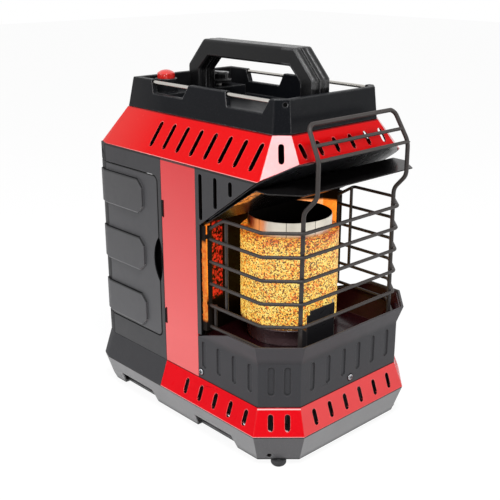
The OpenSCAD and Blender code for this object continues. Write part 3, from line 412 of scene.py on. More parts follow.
def metalFinish(name, given):
    look = {**bareMetal, **given}
    shader, where = startMaterial(name)
    streaks = effect(stretched(where, look["stretch"]), brushing)
    marks = effect(where, handling, Scale=look["cloudScale"], Contrast=look["contrast"])
    wornAndHighlight = effect(where, edgeWearAndHighlight, Radius=look["wearAndHighlightRadius"] * mm, Amount=look["wear"],
                  Scale=look["chips"])
    first, second, rubbedAndHighlight = look["tones"]
    tone = mixColour(streaks["Streak"], first, second)
    tone = mixColour(times(marks["Cloud"], look["heat"]), tone, look.get("heatColour", second))
    connect(shader, {
        "Base Color": mixColour(wornAndHighlight["Mask"], tone, rubbedAndHighlight),
        "Roughness": mapped(marks["Smudge"], 0, 1, *look["rough"]),
        "Normal": bumped(streaks["Height"], look["bump"], look["bumpDepth"]), "Metallic": 1.0})


# Bands and values that several of these finishes share. The skirt's pale line is a painted highlight and its dark
# line painted shade, the pan's dark lines are painted shade, the door's broad band is painted light, lighter
# towards the bottom, and the blocks carry a painted shadow at the top and a painted highlight line at the foot
skirtHighlightAndShadeLines = ((39.0, 41.3, 0.4, (0.97, 0.4, 0.4)), (69.7, 72.0, 0.4, (0.1, 0.001, 0.002)))
panShadeLines = ((5, 10, 1.6, (0.024, 0.024, 0.025)), (39.3, 41.5, 0.3, (0.012, 0.01, 0.01)))
doorLine = {"shadeReach": 3.0, "shadeStart": 0.86, "shadeEnd": 0.56, "gap": 1.35}
doorPaintedLight = (-300, 292, 200, (0.08, 0.08, 0.085))
blockLows = (102.7, 172.6, 242.5)
blockShadowsAndHighlights = [(low + 38.2, low + 42, 1.2, (0.013, 0.013, 0.014)) for low in blockLows]
blockShadowsAndHighlights += [(low - 1, low + 1.6, 0.6, (0.16, 0.16, 0.165)) for low in blockLows]
solidLooks = {
    # Hood: a painted highlight line at the hem, a painted shade line under the tray and painted light towards the
    # rear
    "hoodRed": {"tones": ((0.72, 0.0035, 0.005), (0.66, 0.003, 0.0045), (0.97, 0.4, 0.38)),
        "rough": (0.2, 0.3), "wear": 1.2, "grain": 420.0, "bump": 0.03, "fleck": 0.01, "specular": 0.05,
        "coat": 0.05, "fade": (60, 175, (0.68, 0.052, 0.046)),
        "bands": ((313.2, 314.6, 0.4, (0.92, 0.34, 0.33)), (353.6, 356, 0.3, (0.2, 0.002, 0.003)))},
    # A paler copy for the chamfers: painted highlight, darker towards its top
    "hoodGleam": {"tones": ((0.79, 0.4, 0.41), (0.69, 0.08, 0.082), (0.98, 0.8, 0.8)), "rough": (0.18, 0.26),
        "wear": 0.9, "grain": 420.0, "bump": 0.03, "fleck": 0.02, "cloudScale": 16.0, "specular": 0.08,
        "coat": 0.2, "coatRough": 0.14, "bands": ((346, 356, 9, (0.57, 0.24, 0.28)),)},
    "skirtRed": {"tones": ((0.76, 0.003, 0.01), (0.7, 0.0025, 0.008), (0.98, 0.46, 0.45)),
        "rough": (0.24, 0.34), "wear": 1.3, "grain": 520.0, "bump": 0.04, "fleck": 0.01, "specular": 0.04,
        "coat": 0.03, "coatRough": 0.12, "wearAndHighlightRadius": 1.2, "bands": skirtHighlightAndShadeLines},
    # A lighter copy for the chamfer: painted highlight, with a painted highlight line at its top
    "skirtGleam": {"tones": ((0.8, 0.003, 0.01), (0.76, 0.0025, 0.008), (0.98, 0.5, 0.49)),
        "rough": (0.22, 0.3), "wear": 1.3, "grain": 520.0, "bump": 0.04, "fleck": 0.01, "specular": 0.05,
        "coat": 0.05, "coatRough": 0.12, "bands": ((67.6, 69.4, 0.5, (0.97, 0.55, 0.55)), *skirtHighlightAndShadeLines)},
    # A paler copy for the front face: painted sheen, with painted shade lines at its foot and top
    "skirtPale": {"tones": ((0.8, 0.075, 0.078), (0.76, 0.062, 0.065), (0.98, 0.52, 0.5)),
        "rough": (0.28, 0.38), "wear": 1.1, "grain": 520.0, "bump": 0.04, "fleck": 0.02, "specular": 0.1,
        "bands": ((39.0, 41.0, 0.3, (0.25, 0.004, 0.006)), (69.7, 72.0, 0.4, (0.12, 0.004, 0.005)))},
    # Painted glint on the sills of the chamfer's slots
    "slotGlint": {"tones": ((0.82, 0.62, 0.62), (0.66, 0.4, 0.4), (0.96, 0.92, 0.92)), "rough": (0.2, 0.3),
        "wear": 0.8, "grain": 520.0, "bump": 0.05, "fleck": 0.05, "shade": 0.0},
    # Column: painted sheen, pinker towards the bottom, and a painted shade line under the hood
    "columnRed": {"tones": ((0.66, 0.03, 0.034), (0.61, 0.026, 0.03), (0.97, 0.42, 0.4)),
        "rough": (0.34, 0.44), "wear": 0.8, "grain": 760.0, "bump": 0.08, "fleck": 0.03, "specular": 0.35,
        "coat": 0.25, "coatRough": 0.3,
        "bands": ((-380, 313, 200, (0.84, 0.125, 0.125)), (311.5, 315, 0.5, (0.05, 0.002, 0.002)))},
    # Sides: painted light, lighter towards the bottom, and a painted shade line under the hood
    "sideMould": {"tones": ((0.034, 0.033, 0.036), (0.027, 0.026, 0.029), (0.2, 0.2, 0.205)), "wear": 0.8,
        "specular": 0.34, **doorLine,
        "bands": ((-300, 200, 120, (0.046, 0.046, 0.049)), (311.6, 315, 0.5, (0.003, 0.003, 0.003)))},
    "doorMould": {"tones": ((0.044, 0.043, 0.047), (0.037, 0.036, 0.04), (0.27, 0.27, 0.275)),
        "rough": (0.4, 0.54), "wear": 0.9, "specular": 0.42, **doorLine, "bands": (doorPaintedLight,)},
    "blockFace": {"tones": ((0.046, 0.045, 0.048), (0.04, 0.039, 0.042), (0.25, 0.25, 0.255)),
        "rough": (0.4, 0.54), "specular": 0.42, "bands": (doorPaintedLight, *blockShadowsAndHighlights)},
    "doorShade": {"tones": ((0.01, 0.01, 0.011), (0.014, 0.014, 0.015), (0.08, 0.08, 0.085)), "wear": 0.5,
        "specular": 0.2},
    "doorGleam": {"tones": ((0.2, 0.2, 0.205), (0.16, 0.16, 0.165), (0.34, 0.34, 0.345)),
        "rough": (0.36, 0.5), "wear": 0.8, "bump": 0.16, "fleck": 0.08},
    # Black in slots, gaps and recesses: painted shade
    "recessShade": {"tones": ((0.003, 0.003, 0.0033), (0.005, 0.005, 0.0055), (0.04, 0.04, 0.042)),
        "rough": (0.5, 0.7), "wear": 0.4, "fleck": 0.04, "specular": 0.06},
    "skirtDark": {"tones": ((0.03, 0.03, 0.033), (0.024, 0.024, 0.027), (0.15, 0.15, 0.155)),
        "rough": (0.44, 0.58), "wear": 0.55, "fleck": 0.08, "specular": 0.25},
    # Basin: painted light on the flared rim and a painted shade line at its foot
    "basinMould": {"tones": ((0.042, 0.042, 0.047), (0.035, 0.035, 0.039), (0.2, 0.195, 0.2)),
        "rough": (0.42, 0.55), "grain": 860.0, "specular": 0.25, "shadeReach": 2.5, "shadeStart": 0.93,
        "shadeEnd": 0.66,
        "bands": ((121.5, 160, 6, (0.06, 0.057, 0.063)), (69.5, 71.4, 0.3, (0.004, 0.004, 0.004)))},
    # Pan: painted shade, darker towards the foot, with painted shade lines at the foot and under the skirt
    "panGrey": {"tones": ((0.27, 0.27, 0.275), (0.22, 0.22, 0.225), (0.5, 0.5, 0.505)), "rough": (0.38, 0.52),
        "grain": 700.0, "bump": 0.18, "fleck": 0.1, "specular": 0.4,
        "bands": ((5, 14, 7, (0.11, 0.11, 0.112)), *panShadeLines)},
    "panShade": {"tones": ((0.125, 0.123, 0.128), (0.105, 0.103, 0.108), (0.38, 0.38, 0.385)),
        "rough": (0.38, 0.52), "grain": 700.0, "bump": 0.18, "fleck": 0.1, "specular": 0.3,
        "bands": panShadeLines},
    # Tray: painted light, lighter towards the rear; its bright worn edges also paint highlights
    "trayBlack": {"tones": ((0.0035, 0.0042, 0.0058), (0.0055, 0.0062, 0.008), (0.5, 0.502, 0.506)),
        "rough": (0.3, 0.44), "wear": 0.85, "grain": 780.0, "fleck": 0.02, "wearAndHighlightRadius": 1.4,
        "specular": 0.07, "fade": (70, 170, (0.022, 0.022, 0.023))},
    "gripBlack": {"tones": ((0.0048, 0.0048, 0.0053), (0.0075, 0.0075, 0.008), (0.26, 0.26, 0.265)),
        "rough": (0.13, 0.22), "grain": 1100.0, "bump": 0.12, "fleck": 0.04, "wearAndHighlightRadius": 2.8,
        "specular": 0.2},
    "footRubber": {"tones": ((0.045, 0.045, 0.047), (0.036, 0.036, 0.038), (0.12, 0.12, 0.12)),
        "rough": (0.68, 0.86), "wear": 0.5, "grain": 600.0, "bump": 0.4, "fleck": 0.2, "specular": 0.3,
        "shade": 0.3},
    "darkWire": {"tones": ((0.03, 0.027, 0.026), (0.042, 0.032, 0.029), (0.12, 0.1, 0.09)),
        "rough": (0.34, 0.56), "wear": 0.15, "grain": 900.0, "bump": 0.3, "fleck": 0.2, "cloudScale": 40.0,
        "specular": 0.35, "shade": 0.4},
    "blackEnamel": {"tones": ((0.004, 0.004, 0.0045), (0.008, 0.007, 0.007), (0.3, 0.29, 0.28)),
        "rough": (0.16, 0.28), "wear": 0.8, "grain": 320.0, "bump": 0.08, "fleck": 0.03, "specular": 0.08,
        "wearAndHighlightRadius": 0.7},
    "ringEnamel": {"tones": ((0.19, 0.115, 0.122), (0.13, 0.078, 0.084), (0.5, 0.42, 0.42)),
        "rough": (0.2, 0.34), "wear": 0.6, "grain": 320.0, "bump": 0.06, "fleck": 0.03, "specular": 1.0,
        "coat": 0.6, "coatRough": 0.2},
    "lipEnamel": {"tones": ((0.03, 0.03, 0.033), (0.022, 0.022, 0.025), (0.26, 0.25, 0.24)),
        "rough": (0.22, 0.36), "grain": 420.0, "bump": 0.12, "fleck": 0.04, "wearAndHighlightRadius": 0.7,
        "specular": 0.2},
    "soot": {"tones": ((0.006, 0.0045, 0.004), (0.012, 0.008, 0.006), (0.08, 0.07, 0.06)),
        "rough": (0.5, 0.8), "wear": 0.3, "grain": 500.0, "bump": 0.3, "fleck": 0.05, "specular": 0.1,
        "cloudScale": 40.0},
    "linerEnamel": {"tones": ((0.034, 0.007, 0.011), (0.016, 0.004, 0.006), (0.26, 0.14, 0.14)),
        "rough": (0.1, 0.22), "wear": 0.6, "grain": 260.0, "bump": 0.1, "fleck": 0.02, "coat": 0.05,
        "coatRough": 0.08, "cloudScale": 22.0, "specular": 0.09},
    "buttonRed": {"tones": ((0.78, 0.03, 0.02), (0.68, 0.02, 0.015), (0.95, 0.4, 0.38)),
        "rough": (0.14, 0.26), "wear": 0.3, "grain": 500.0, "bump": 0.04, "fleck": 0.02, "coat": 0.5,
        "coatRough": 0.06},
    "ceramicWhite": {"tones": ((0.62, 0.6, 0.56), (0.5, 0.47, 0.43), (0.4, 0.37, 0.33)), "rough": (0.3, 0.5),
        "wear": 0.5, "grain": 700.0, "bump": 0.15, "fleck": 0.1},
    "switchGrey": {"tones": ((0.13, 0.14, 0.15), (0.1, 0.11, 0.12), (0.3, 0.3, 0.3)), "rough": (0.4, 0.55),
        "wear": 0.4, "grain": 800.0, "fleck": 0.1},
}
metalLooks = {
    "plainSteel": {"tones": ((0.5, 0.5, 0.49), (0.4, 0.4, 0.39), (0.74, 0.74, 0.73)), "rough": (0.26, 0.46),
        "stretch": (900, 900, 60), "heat": 0.15, "heatColour": (0.36, 0.31, 0.25)},
    "rodSteel": {"tones": ((0.58, 0.56, 0.52), (0.44, 0.42, 0.39), (0.85, 0.85, 0.84)), "rough": (0.14, 0.3),
        "stretch": (1400, 50, 1400), "bump": 0.12},
    # Screws: their bright worn edges also paint glints
    "screwSteel": {"tones": ((0.42, 0.42, 0.44), (0.2, 0.2, 0.21), (0.95, 0.95, 0.95)), "rough": (0.12, 0.24),
        "stretch": (700, 700, 700), "wear": 0.9},
    "bandSteel": {"tones": ((0.86, 0.82, 0.72), (0.78, 0.73, 0.62), (0.95, 0.92, 0.86)),
        "rough": (0.28, 0.42), "stretch": (60, 60, 1500), "heat": 0.12, "heatColour": (0.62, 0.5, 0.34),
        "bump": 0.08},
    "brassMetal": {"tones": ((0.66, 0.48, 0.2), (0.56, 0.38, 0.14), (0.84, 0.7, 0.4)), "rough": (0.2, 0.36),
        "stretch": (300, 300, 900)},
    "castAlloy": {"tones": ((0.48, 0.48, 0.49), (0.4, 0.4, 0.41), (0.7, 0.7, 0.7)), "rough": (0.42, 0.6),
        "stretch": (500, 500, 500), "bump": 0.5},
}

for name, look in solidLooks.items():
    solidFinish(name, look)
for name, look in metalLooks.items():
    metalFinish(name, look)


# Heat-tinted mirror behind the drum: dark and not metallic in the middle, at the top and at the foot, red-brown
# beside the middle and straw at its wings. The red-brown and straw zones carry a painted reflection of the drum's
# glow, as emission
mirror = {
    "stops": ((0.0470, (0.010, 0.007, 0.006)), (0.0490, (0.20, 0.022, 0.014)), (0.0665, (0.26, 0.034, 0.018)),
              (0.0675, (0.010, 0.007, 0.006)), (0.0705, (0.010, 0.007, 0.006)), (0.0715, (0.86, 0.46, 0.20))),
    "perMetre": 12.0, "brown": 0.0490, "seam": 0.0675, "seamEnd": 0.0705, "wander": 0.004, "clouds": 30.0,
    "contrast": 1.6, "scorch": 240.0, "burnt": (0.41, 0.55), "speckle": (0.012, 0.005, 0.004),
    "darkFrom": 0.236, "darkBelow": 0.148, "darkColour": (0.008, 0.006, 0.005),
    "reflectedRed": (0.66, 0.018, 0.010), "reflectedStraw": (0.86, 0.17, 0.016), "reflectedPower": 0.85, "smoother": 0.55,
    "rough": (0.12, 0.26), "stretch": (1200, 1200, 30), "bump": 0.06, "specular": 0.04,
}


def makeMirrorSteel():
    shader, where = startMaterial("mirrorSteel")
    side = maths("ABSOLUTE", apart(where)[0])
    marks = effect(where, handling, Scale=mirror["clouds"], Contrast=mirror["contrast"])
    drift = times(minus(marks["Cloud"], 0.5), mirror["wander"])
    stops = [(place * mirror["perMetre"], colour) for place, colour in mirror["stops"]]
    tints = colourRamp(times(plus(side, drift), mirror["perMetre"]), stops)
    burnt = mapped(noise(where, mirror["scorch"], 3.0, Roughness=0.7), *mirror["burnt"])
    inner = maths("LESS_THAN", side, mirror["seam"])
    speckled = mixColour(times(burnt, inner), tints, mirror["speckle"])
    high = effect(where, heightBand, Low=mirror["darkFrom"], High=0.4, Blend=0.003)
    low = effect(where, heightBand, Low=-0.1, High=mirror["darkBelow"], Blend=0.004)
    middle = maths("LESS_THAN", side, mirror["brown"])
    darkened = plus(high["Mask"], plus(low["Mask"], middle), clamp=True)
    clean = minus(1.0, darkened)
    redZone = times(maths("GREATER_THAN", side, mirror["brown"]), inner)
    strawZone = maths("GREATER_THAN", side, mirror["seamEnd"])
    # Painted reflection of the drum's glow on the red-brown and straw zones
    lit = mixColour(redZone, mixColour(strawZone, unlit, mirror["reflectedStraw"]), mirror["reflectedRed"])
    flaky = times(burnt, minus(1.0, times(strawZone, mirror["smoother"])))
    shown = times(minus(1.0, flaky), clean)
    streaks = effect(stretched(where, mirror["stretch"]), brushing)
    connect(shader, {
        "Base Color": mixColour(darkened, speckled, mirror["darkColour"]), "Metallic": clean,
        "Roughness": mapped(marks["Smudge"], 0, 1, *mirror["rough"]),
        "Normal": bumped(streaks["Height"], mirror["bump"], 0.0001),
        "Emission Color": mixColour(shown, unlit, lit), "Emission Strength": mirror["reflectedPower"],
        "Specular IOR Level": mirror["specular"]})


# Glowing woven mesh of the drum: cream and yellow cells, dark gaps between the wires, redder patches. It darkens
# towards its foot and its head, each (reach, strength)
glow = {
    "stops": ((0.10, (0.50, 0.06, 0.004)), (0.24, (0.84, 0.18, 0.013)), (0.38, (0.95, 0.42, 0.04)),
              (0.54, (1.0, 0.64, 0.10)), (0.80, (1.0, 0.79, 0.22))),
    "cell": 640.0, "cellShare": 0.60, "patch": 75.0, "patchShare": 0.9, "cooler": 0.22, "power": 1.06,
    "gap": 560.0, "gapFrom": 0.512, "gapTo": 0.562, "gapColour": (0.075, 0.020, 0.002),
    "bottom": 0.127, "top": 0.233, "foot": (0.006, 0.22), "head": (0.012, 0.34),
    "wireTones": ((0.10, 0.05, 0.03), (0.22, 0.14, 0.08)), "weave": 1500.0, "bump": 0.4, "rough": (0.4, 0.7),
}


def makeHotMesh():
    shader, where = startMaterial("hotMesh")
    tree = where.id_data
    cells = put(tree, "ShaderNodeTexVoronoi", {"Vector": where, "Scale": glow["cell"]})
    tint = put(tree, "ShaderNodeSeparateColor", {"Color": cells.outputs["Color"]}).outputs
    patches = noise(where, glow["patch"], 3.0, Roughness=0.6)
    holes = noise(where, glow["gap"], 2.0, Roughness=0.7)
    height = apart(where)[2]
    (footReach, footDark), (headReach, headCool) = glow["foot"], glow["head"]
    foot = mapped(height, glow["bottom"], glow["bottom"] + footReach, footDark, 0.0)
    head = mapped(height, glow["top"] - headReach, glow["top"], 0.0, headCool)
    heat = plus(times(tint[0], glow["cellShare"]), times(patches, glow["patchShare"]))
    glowColour = colourRamp(minus(minus(heat, head), glow["cooler"]), glow["stops"])
    dark = mapped(plus(holes, foot), glow["gapFrom"], glow["gapTo"])
    wires = noise(where, glow["weave"], 2.0)
    connect(shader, {
        "Base Color": mixColour(tint[1], *glow["wireTones"]),
        "Roughness": mapped(holes, 0, 1, *glow["rough"]), "Normal": bumped(wires, glow["bump"], 0.0003),
        "Emission Color": mixColour(dark, glowColour, glow["gapColour"]), "Emission Strength": glow["power"]})


# A finish that starts as a copy of another
def variant(source, name):
    finish[name] = finish[source].copy()
    finish[name].name = name
    tree = finish[name].node_tree
    shader = next(node for node in tree.nodes if node.type == "BSDF_PRINCIPLED")
    return shader, put(tree, "ShaderNodeTexCoord").outputs["Object"]


def colourOf(shader):
    return shader.inputs["Base Color"].links[0].from_socket


# Side plate of the guard's bracket on the door side: the drum's orange glow is painted along its front edge, as
# emission
paintedGlowPlate = {"front": -0.0285, "outer": -0.108, "low": 0.140, "high": 0.235, "blend": 0.004, "flakes": 190.0,
            "ragged": 0.006, "warm": (0.38, 0.62), "deep": (0.80, 0.13, 0.010), "pale": (0.95, 0.34, 0.05),
            "power": 0.85}


def makePaintedGlowPlate():
    shader, where = variant("soot", "paintedGlowPlate")
    place = apart(where)
    flakes = noise(where, paintedGlowPlate["flakes"], 4.0, Roughness=0.7)
    ragged = times(minus(flakes, 0.5), paintedGlowPlate["ragged"])
    ahead = maths("LESS_THAN", plus(place[1], ragged), paintedGlowPlate["front"])
    doorSide = maths("LESS_THAN", place[0], paintedGlowPlate["outer"])
    level = effect(where, heightBand, Low=paintedGlowPlate["low"], High=paintedGlowPlate["high"],
                   Blend=paintedGlowPlate["blend"])
    zone = times(times(ahead, doorSide), level["Mask"])
    glowColour = mixColour(mapped(flakes, *paintedGlowPlate["warm"]), paintedGlowPlate["deep"], paintedGlowPlate["pale"])
    connect(shader, {"Emission Color": mixColour(zone, unlit, glowColour), "Emission Strength": paintedGlowPlate["power"]})


# Steel collar above the mesh: brushed strips with a dark seam between each two
collar = {"centreY": -0.05205, "strips": 9, "seam": 0.014, "seamDark": 0.75, "seamColour": (0.10, 0.08, 0.06)}


def makeCollarSteel():
    shader, where = variant("bandSteel", "collarSteel")
    place = apart(where)
    turn = maths("ARCTAN2", minus(place[1], collar["centreY"]), place[0])
    strip = maths("FRACT", times(turn, collar["strips"] / math.tau))
    seam = maths("LESS_THAN", maths("ABSOLUTE", minus(strip, 0.5)), collar["seam"])
    shown = times(seam, collar["seamDark"])
    connect(shader, {"Base Color": mixColour(shown, colourOf(shader), collar["seamColour"])})


# Underside of the lower deflector: the heat has stained it orange along its sides, and the drum's glow on the
# stain is painted on as emission
stainAndGlow = {"inner": 0.088, "outer": 0.094, "front": -0.122, "rear": -0.078, "facing": -0.3, "lines": 260.0,
         "broken": (0.40, 0.52), "colour": (0.80, 0.27, 0.05), "power": 0.35}


def makeStainedGlowingEnamel():
    shader, where = variant("blackEnamel", "stainedGlowingEnamel")
    place = apart(where)
    side = mapped(maths("ABSOLUTE", place[0]), stainAndGlow["inner"], stainAndGlow["outer"])
    ahead = maths("GREATER_THAN", place[1], stainAndGlow["front"])
    behind = maths("LESS_THAN", place[1], stainAndGlow["rear"])
    facing = apart(put(where.id_data, "ShaderNodeNewGeometry").outputs["True Normal"])[2]
    under = maths("LESS_THAN", facing, stainAndGlow["facing"])
    broken = mapped(noise(where, stainAndGlow["lines"], 3.0), *stainAndGlow["broken"])
    zone = times(times(side, broken), times(under, times(ahead, behind)))
    connect(shader, {
        "Base Color": mixColour(zone, colourOf(shader), stainAndGlow["colour"]),
        "Emission Color": mixColour(zone, unlit, stainAndGlow["colour"]), "Emission Strength": stainAndGlow["power"]})


# Grips: painted highlights along the edges of their front legs
gripHighlight = {"front": -0.048, "low": 0.392, "radius": 0.0032, "amount": 1.6, "chips": 90.0,
       "colour": (0.62, 0.62, 0.63)}


def makeGripSheen():
    shader, where = variant("gripBlack", "gripSheen")
    place = apart(where)
    bright = effect(where, edgeWearAndHighlight, Radius=gripHighlight["radius"], Amount=gripHighlight["amount"], Scale=gripHighlight["chips"])
    zone = times(maths("LESS_THAN", place[1], gripHighlight["front"]),
                 maths("GREATER_THAN", place[2], gripHighlight["low"]))
    shown = times(bright["Mask"], zone)
    connect(shader, {"Base Color": mixColour(shown, colourOf(shader), gripHighlight["colour"])})


makeMirrorSteel()
makeHotMesh()
makePaintedGlowPlate()
makeCollarSteel()
makeStainedGlowingEnamel()
makeGripSheen()
print("finishes ready")


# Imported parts: a merged copy of each, with softened edges
edges = {"merge": 1e-5, "flat": 0.8, "cut": 1e-6, "segments": 2, "bevelFrom": 24, "weight": 50, "creaseFrom": 40}


def keepSharp(shape):
    limit = math.radians(edges["creaseFrom"])
    for edge in shape.edges:
        edge.smooth = not (len(edge.link_faces) == 2 and edge.calc_face_angle(0) > limit)
    for face in shape.faces:
        face.smooth = True


def dressedName(node):
    words = node.split("_")
    return words[0] + "".join(word.capitalize() for word in words[1:])


def bodyOf(node):
    bodies = frame["record"]["behaviour"]["bodies"]
    return next(body for body, members in bodies.items() if node in members)


def newPiece(name, shape, look, body="heater"):
    mesh = bpy.data.meshes.new(name)
    shape.to_mesh(mesh)
    shape.free()
    mesh.materials.clear()
    mesh.materials.append(finish[look])
    for polygon in mesh.polygons:
        polygon.material_index = 0
    piece = addObject(name, mesh)
    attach(piece, body)
    return piece


def soften(piece, width):
    bevel = piece.modifiers.new("softEdges", "BEVEL")
    bevel.width = width * mm
    bevel.segments = edges["segments"]
    bevel.limit_method = "ANGLE"
    bevel.angle_limit = math.radians(edges["bevelFrom"])
    bevel.use_clamp_overlap = False
    bevel.miter_outer = "MITER_SHARP"
    even = piece.modifiers.new("evenShading", "WEIGHTED_NORMAL")
    even.keep_sharp = True
    even.weight = edges["weight"]


def dress(node, look, softness, cuts=()):
    shape = bmesh.new()
    shape.from_mesh(frame["nodes"][node].data)
    bmesh.ops.remove_doubles(shape, verts=shape.verts, dist=edges["merge"])
    bmesh.ops.dissolve_degenerate(shape, edges=shape.edges, dist=edges["merge"])
    flat = math.radians(edges["flat"])
    bmesh.ops.dissolve_limit(shape, angle_limit=flat, verts=shape.verts, edges=shape.edges)
    for axis, place in cuts:
        normal = [float(axis == other) for other in "xyz"]
        everything = shape.verts[:] + shape.edges[:] + shape.faces[:]
        bmesh.ops.bisect_plane(shape, geom=everything, dist=edges["cut"],
                               plane_co=[share * place * mm for share in normal], plane_no=normal)
    for face in shape.faces:
        face.smooth = True
    piece = newPiece(dressedName(node), shape, look, bodyOf(node))
    if softness:
        soften(piece, softness)
    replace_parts(piece, node)
    return piece


# Gives the faces that pass the test another finish
def refinish(piece, look, test):
    piece.data.materials.append(finish[look])
    last = len(piece.data.materials) - 1
    for polygon in piece.data.polygons:
        if test(polygon.center, polygon.normal):
            polygon.material_index = last


dressed = {
    "base_pan": ("panGrey", 0.9), "rubber_feet": ("footRubber", 0.8), "front_skirt": ("skirtRed", 0.6),
    "rear_skirt": ("skirtDark", 0.7), "side_frame": ("sideMould", 0.6), "cylinder_door": ("doorMould", 0.8),
    "door_hinge_pins": ("plainSteel", 0.2), "door_catch": ("plainSteel", 0.2),
    "right_side_panel": ("sideMould", 0.7), "back_panel": ("sideMould", 0.7), "left_column": ("columnRed", 0.6),
    "right_column": ("columnRed", 0.6), "left_vent_panel": ("sideMould", 0.5),
    "right_vent_panel": ("sideMould", 0.5), "front_basin": ("basinMould", 0.6),
    "basin_liner": ("linerEnamel", 0.3), "hood": ("hoodRed", 0.6), "top_tray": ("trayBlack", 1.1),
    "tray_rods": ("rodSteel", 0.3), "handle_core": ("gripBlack", 1.0), "left_grip": ("gripSheen", 2.6),
    "right_grip": ("gripSheen", 2.6), "bulkhead": ("soot", 0.3), "heat_reflector": ("mirrorSteel", 0.2),
    "upper_deflector": ("lipEnamel", 0.3), "lower_deflector": ("stainedGlowingEnamel", 0.3),
    "burner_band": ("collarSteel", 0.2), "burner_ring": ("ringEnamel", 0.3), "flame_tube": ("soot", 0.2),
    "mixer_tube": ("plainSteel", 0.2), "gas_injector": ("brassMetal", 0.2), "burner_stand": ("plainSteel", 0.3),
    "pilot_burner": ("lipEnamel", 0.2), "spark_electrode": ("ceramicWhite", 0.1),
    "thermocouple": ("plainSteel", 0.1), "guard_brackets": ("paintedGlowPlate", 0.2), "regulator": ("castAlloy", 0.8),
    "regulator_bracket": ("plainSteel", 0.3), "cylinder_cradle": ("plainSteel", 0.4),
    "supply_pipe": ("plainSteel", 0), "burner_pipe": ("plainSteel", 0), "control_valve": ("brassMetal", 0.5),
    "valve_stem": ("plainSteel", 0.2), "control_knob": ("gripBlack", 0.6), "igniter_body": ("trayBlack", 0.4),
    "igniter_button": ("buttonRed", 0.4), "tip_switch": ("switchGrey", 0.4), "tip_pendulum": ("brassMetal", 0.3),
}
# Planes that split the long faces, so that each shades on its own
faceCuts = {"top_tray": [("y", 129), ("y", 60), ("y", 0), ("y", -65)],
            "front_basin": [("x", step * 17.0) for step in range(-5, 6)] + [("y", -112), ("y", -70), ("z", 118)],
            "front_skirt": [("x", step * 22.0) for step in range(-4, 5)] + [("y", -70), ("y", -110)]}
made = {}
for node, (look, softness) in dressed.items():
    made[node] = dress(node, look, softness, faceCuts.get(node, ()))


# Faces of the sides that get painted shade and painted highlights: the rear taper, the blocks' ends, the door's
# edges and the finger scoop
shell = {"blocksFrom": 113.2, "rearTurn": 19.13, "rearReach": 153.42, "rearSlack": 1.5, "scoopZ": 194.0,
         "scoopHalf": 28.5, "scoopEnd": 55.0, "pocketHalf": 40, "pocketFrom": -90, "pocketEnd": 70,
         "pocketDepth": 111.2, "leafFrom": 108, "leafTo": 112.9, "leafAhead": 42, "leafLow": 95, "leafHigh": 295,
         "panFront": -110}
# Slot walls, painted black as shade, stand square to the wall that they go through. Slots: (low, high, flattest,
# steepest)
cut = {"across": 0.679, "ahead": 0.734, "hood": (320.5, 348.0, 0.48, 0.70), "skirt": (45.8, 63.8, 0.22, 0.48),
       "rear": 100, "vents": (-30.3, -54.0, -77.3), "ventHalf": 3.0, "sillTop": 49, "skirtCorner": 161.5}


def facesAxis(centre, normal):
    depth = centre.y - collar["centreY"]
    return normal.x * centre.x + normal.y * depth < -0.5 * math.hypot(centre.x, depth)


def onRearTaper(centre, normal):
    turn = math.radians(shell["rearTurn"])
    reach = (abs(centre.x) * math.cos(turn) + centre.y * math.sin(turn)) / mm
    return abs(normal.x) > 0.8 and normal.y > 0.2 and abs(reach - shell["rearReach"]) < shell["rearSlack"]


def onBlock(centre):
    return abs(centre.x) / mm > shell["blocksFrom"]


def inScoop(centre, normal):
    near = abs(centre.z / mm - shell["scoopZ"]) < shell["scoopHalf"] and centre.y / mm < shell["scoopEnd"]
    return near and abs(normal.x) < 0.3


def inPocket(centre, normal):
    level = abs(centre.z / mm - shell["scoopZ"]) < shell["pocketHalf"] and centre.y / mm < shell["pocketEnd"]
    return level and -shell["pocketDepth"] < centre.x / mm < shell["pocketFrom"]


def leafEdge(centre, normal):
    x, y, z = abs(centre.x) / mm, centre.y / mm, centre.z / mm
    inside = shell["leafFrom"] < x < shell["leafTo"] and shell["leafLow"] < z < shell["leafHigh"]
    return inside and y > shell["leafAhead"] and abs(normal.x) < 0.3


def slotWall(low, high, flattest, steepest):
    def test(centre, normal):
        if not low < centre.z / mm < high or centre.y / mm > cut["rear"]:
            return False
        level = Vector((abs(normal.x), abs(normal.y))).normalized()
        aligned = max(level.x, level.y, level.x * cut["across"] + level.y * cut["ahead"]) > 0.995
        return not (aligned and flattest < abs(normal.z) < steepest)
    return test


def ventWall(centre, normal):
    return abs(normal.x) < 0.5 and any(abs(centre.y / mm - y) < cut["ventHalf"] for y in cut["vents"])


def onChamfer(centre, normal):
    level = math.hypot(normal.x, normal.y)
    return abs(normal.z) < 0.75 and abs(normal.x) * cut["across"] - normal.y * cut["ahead"] > 0.99 * level


def slotSill(centre, normal):
    corner = abs(centre.x) * cut["across"] - centre.y * cut["ahead"] > cut["skirtCorner"] * mm
    return corner and normal.z > 0.5 and centre.z / mm < cut["sillTop"] and normal.y < 0.1


def panCorner(centre, normal):
    return abs(normal.x) > 0.4 and normal.y < -0.4 and centre.y / mm < shell["panFront"]


# In this order, since a later one wins. Both sides carry the same blocks
both = ["cylinder_door", "right_side_panel"]
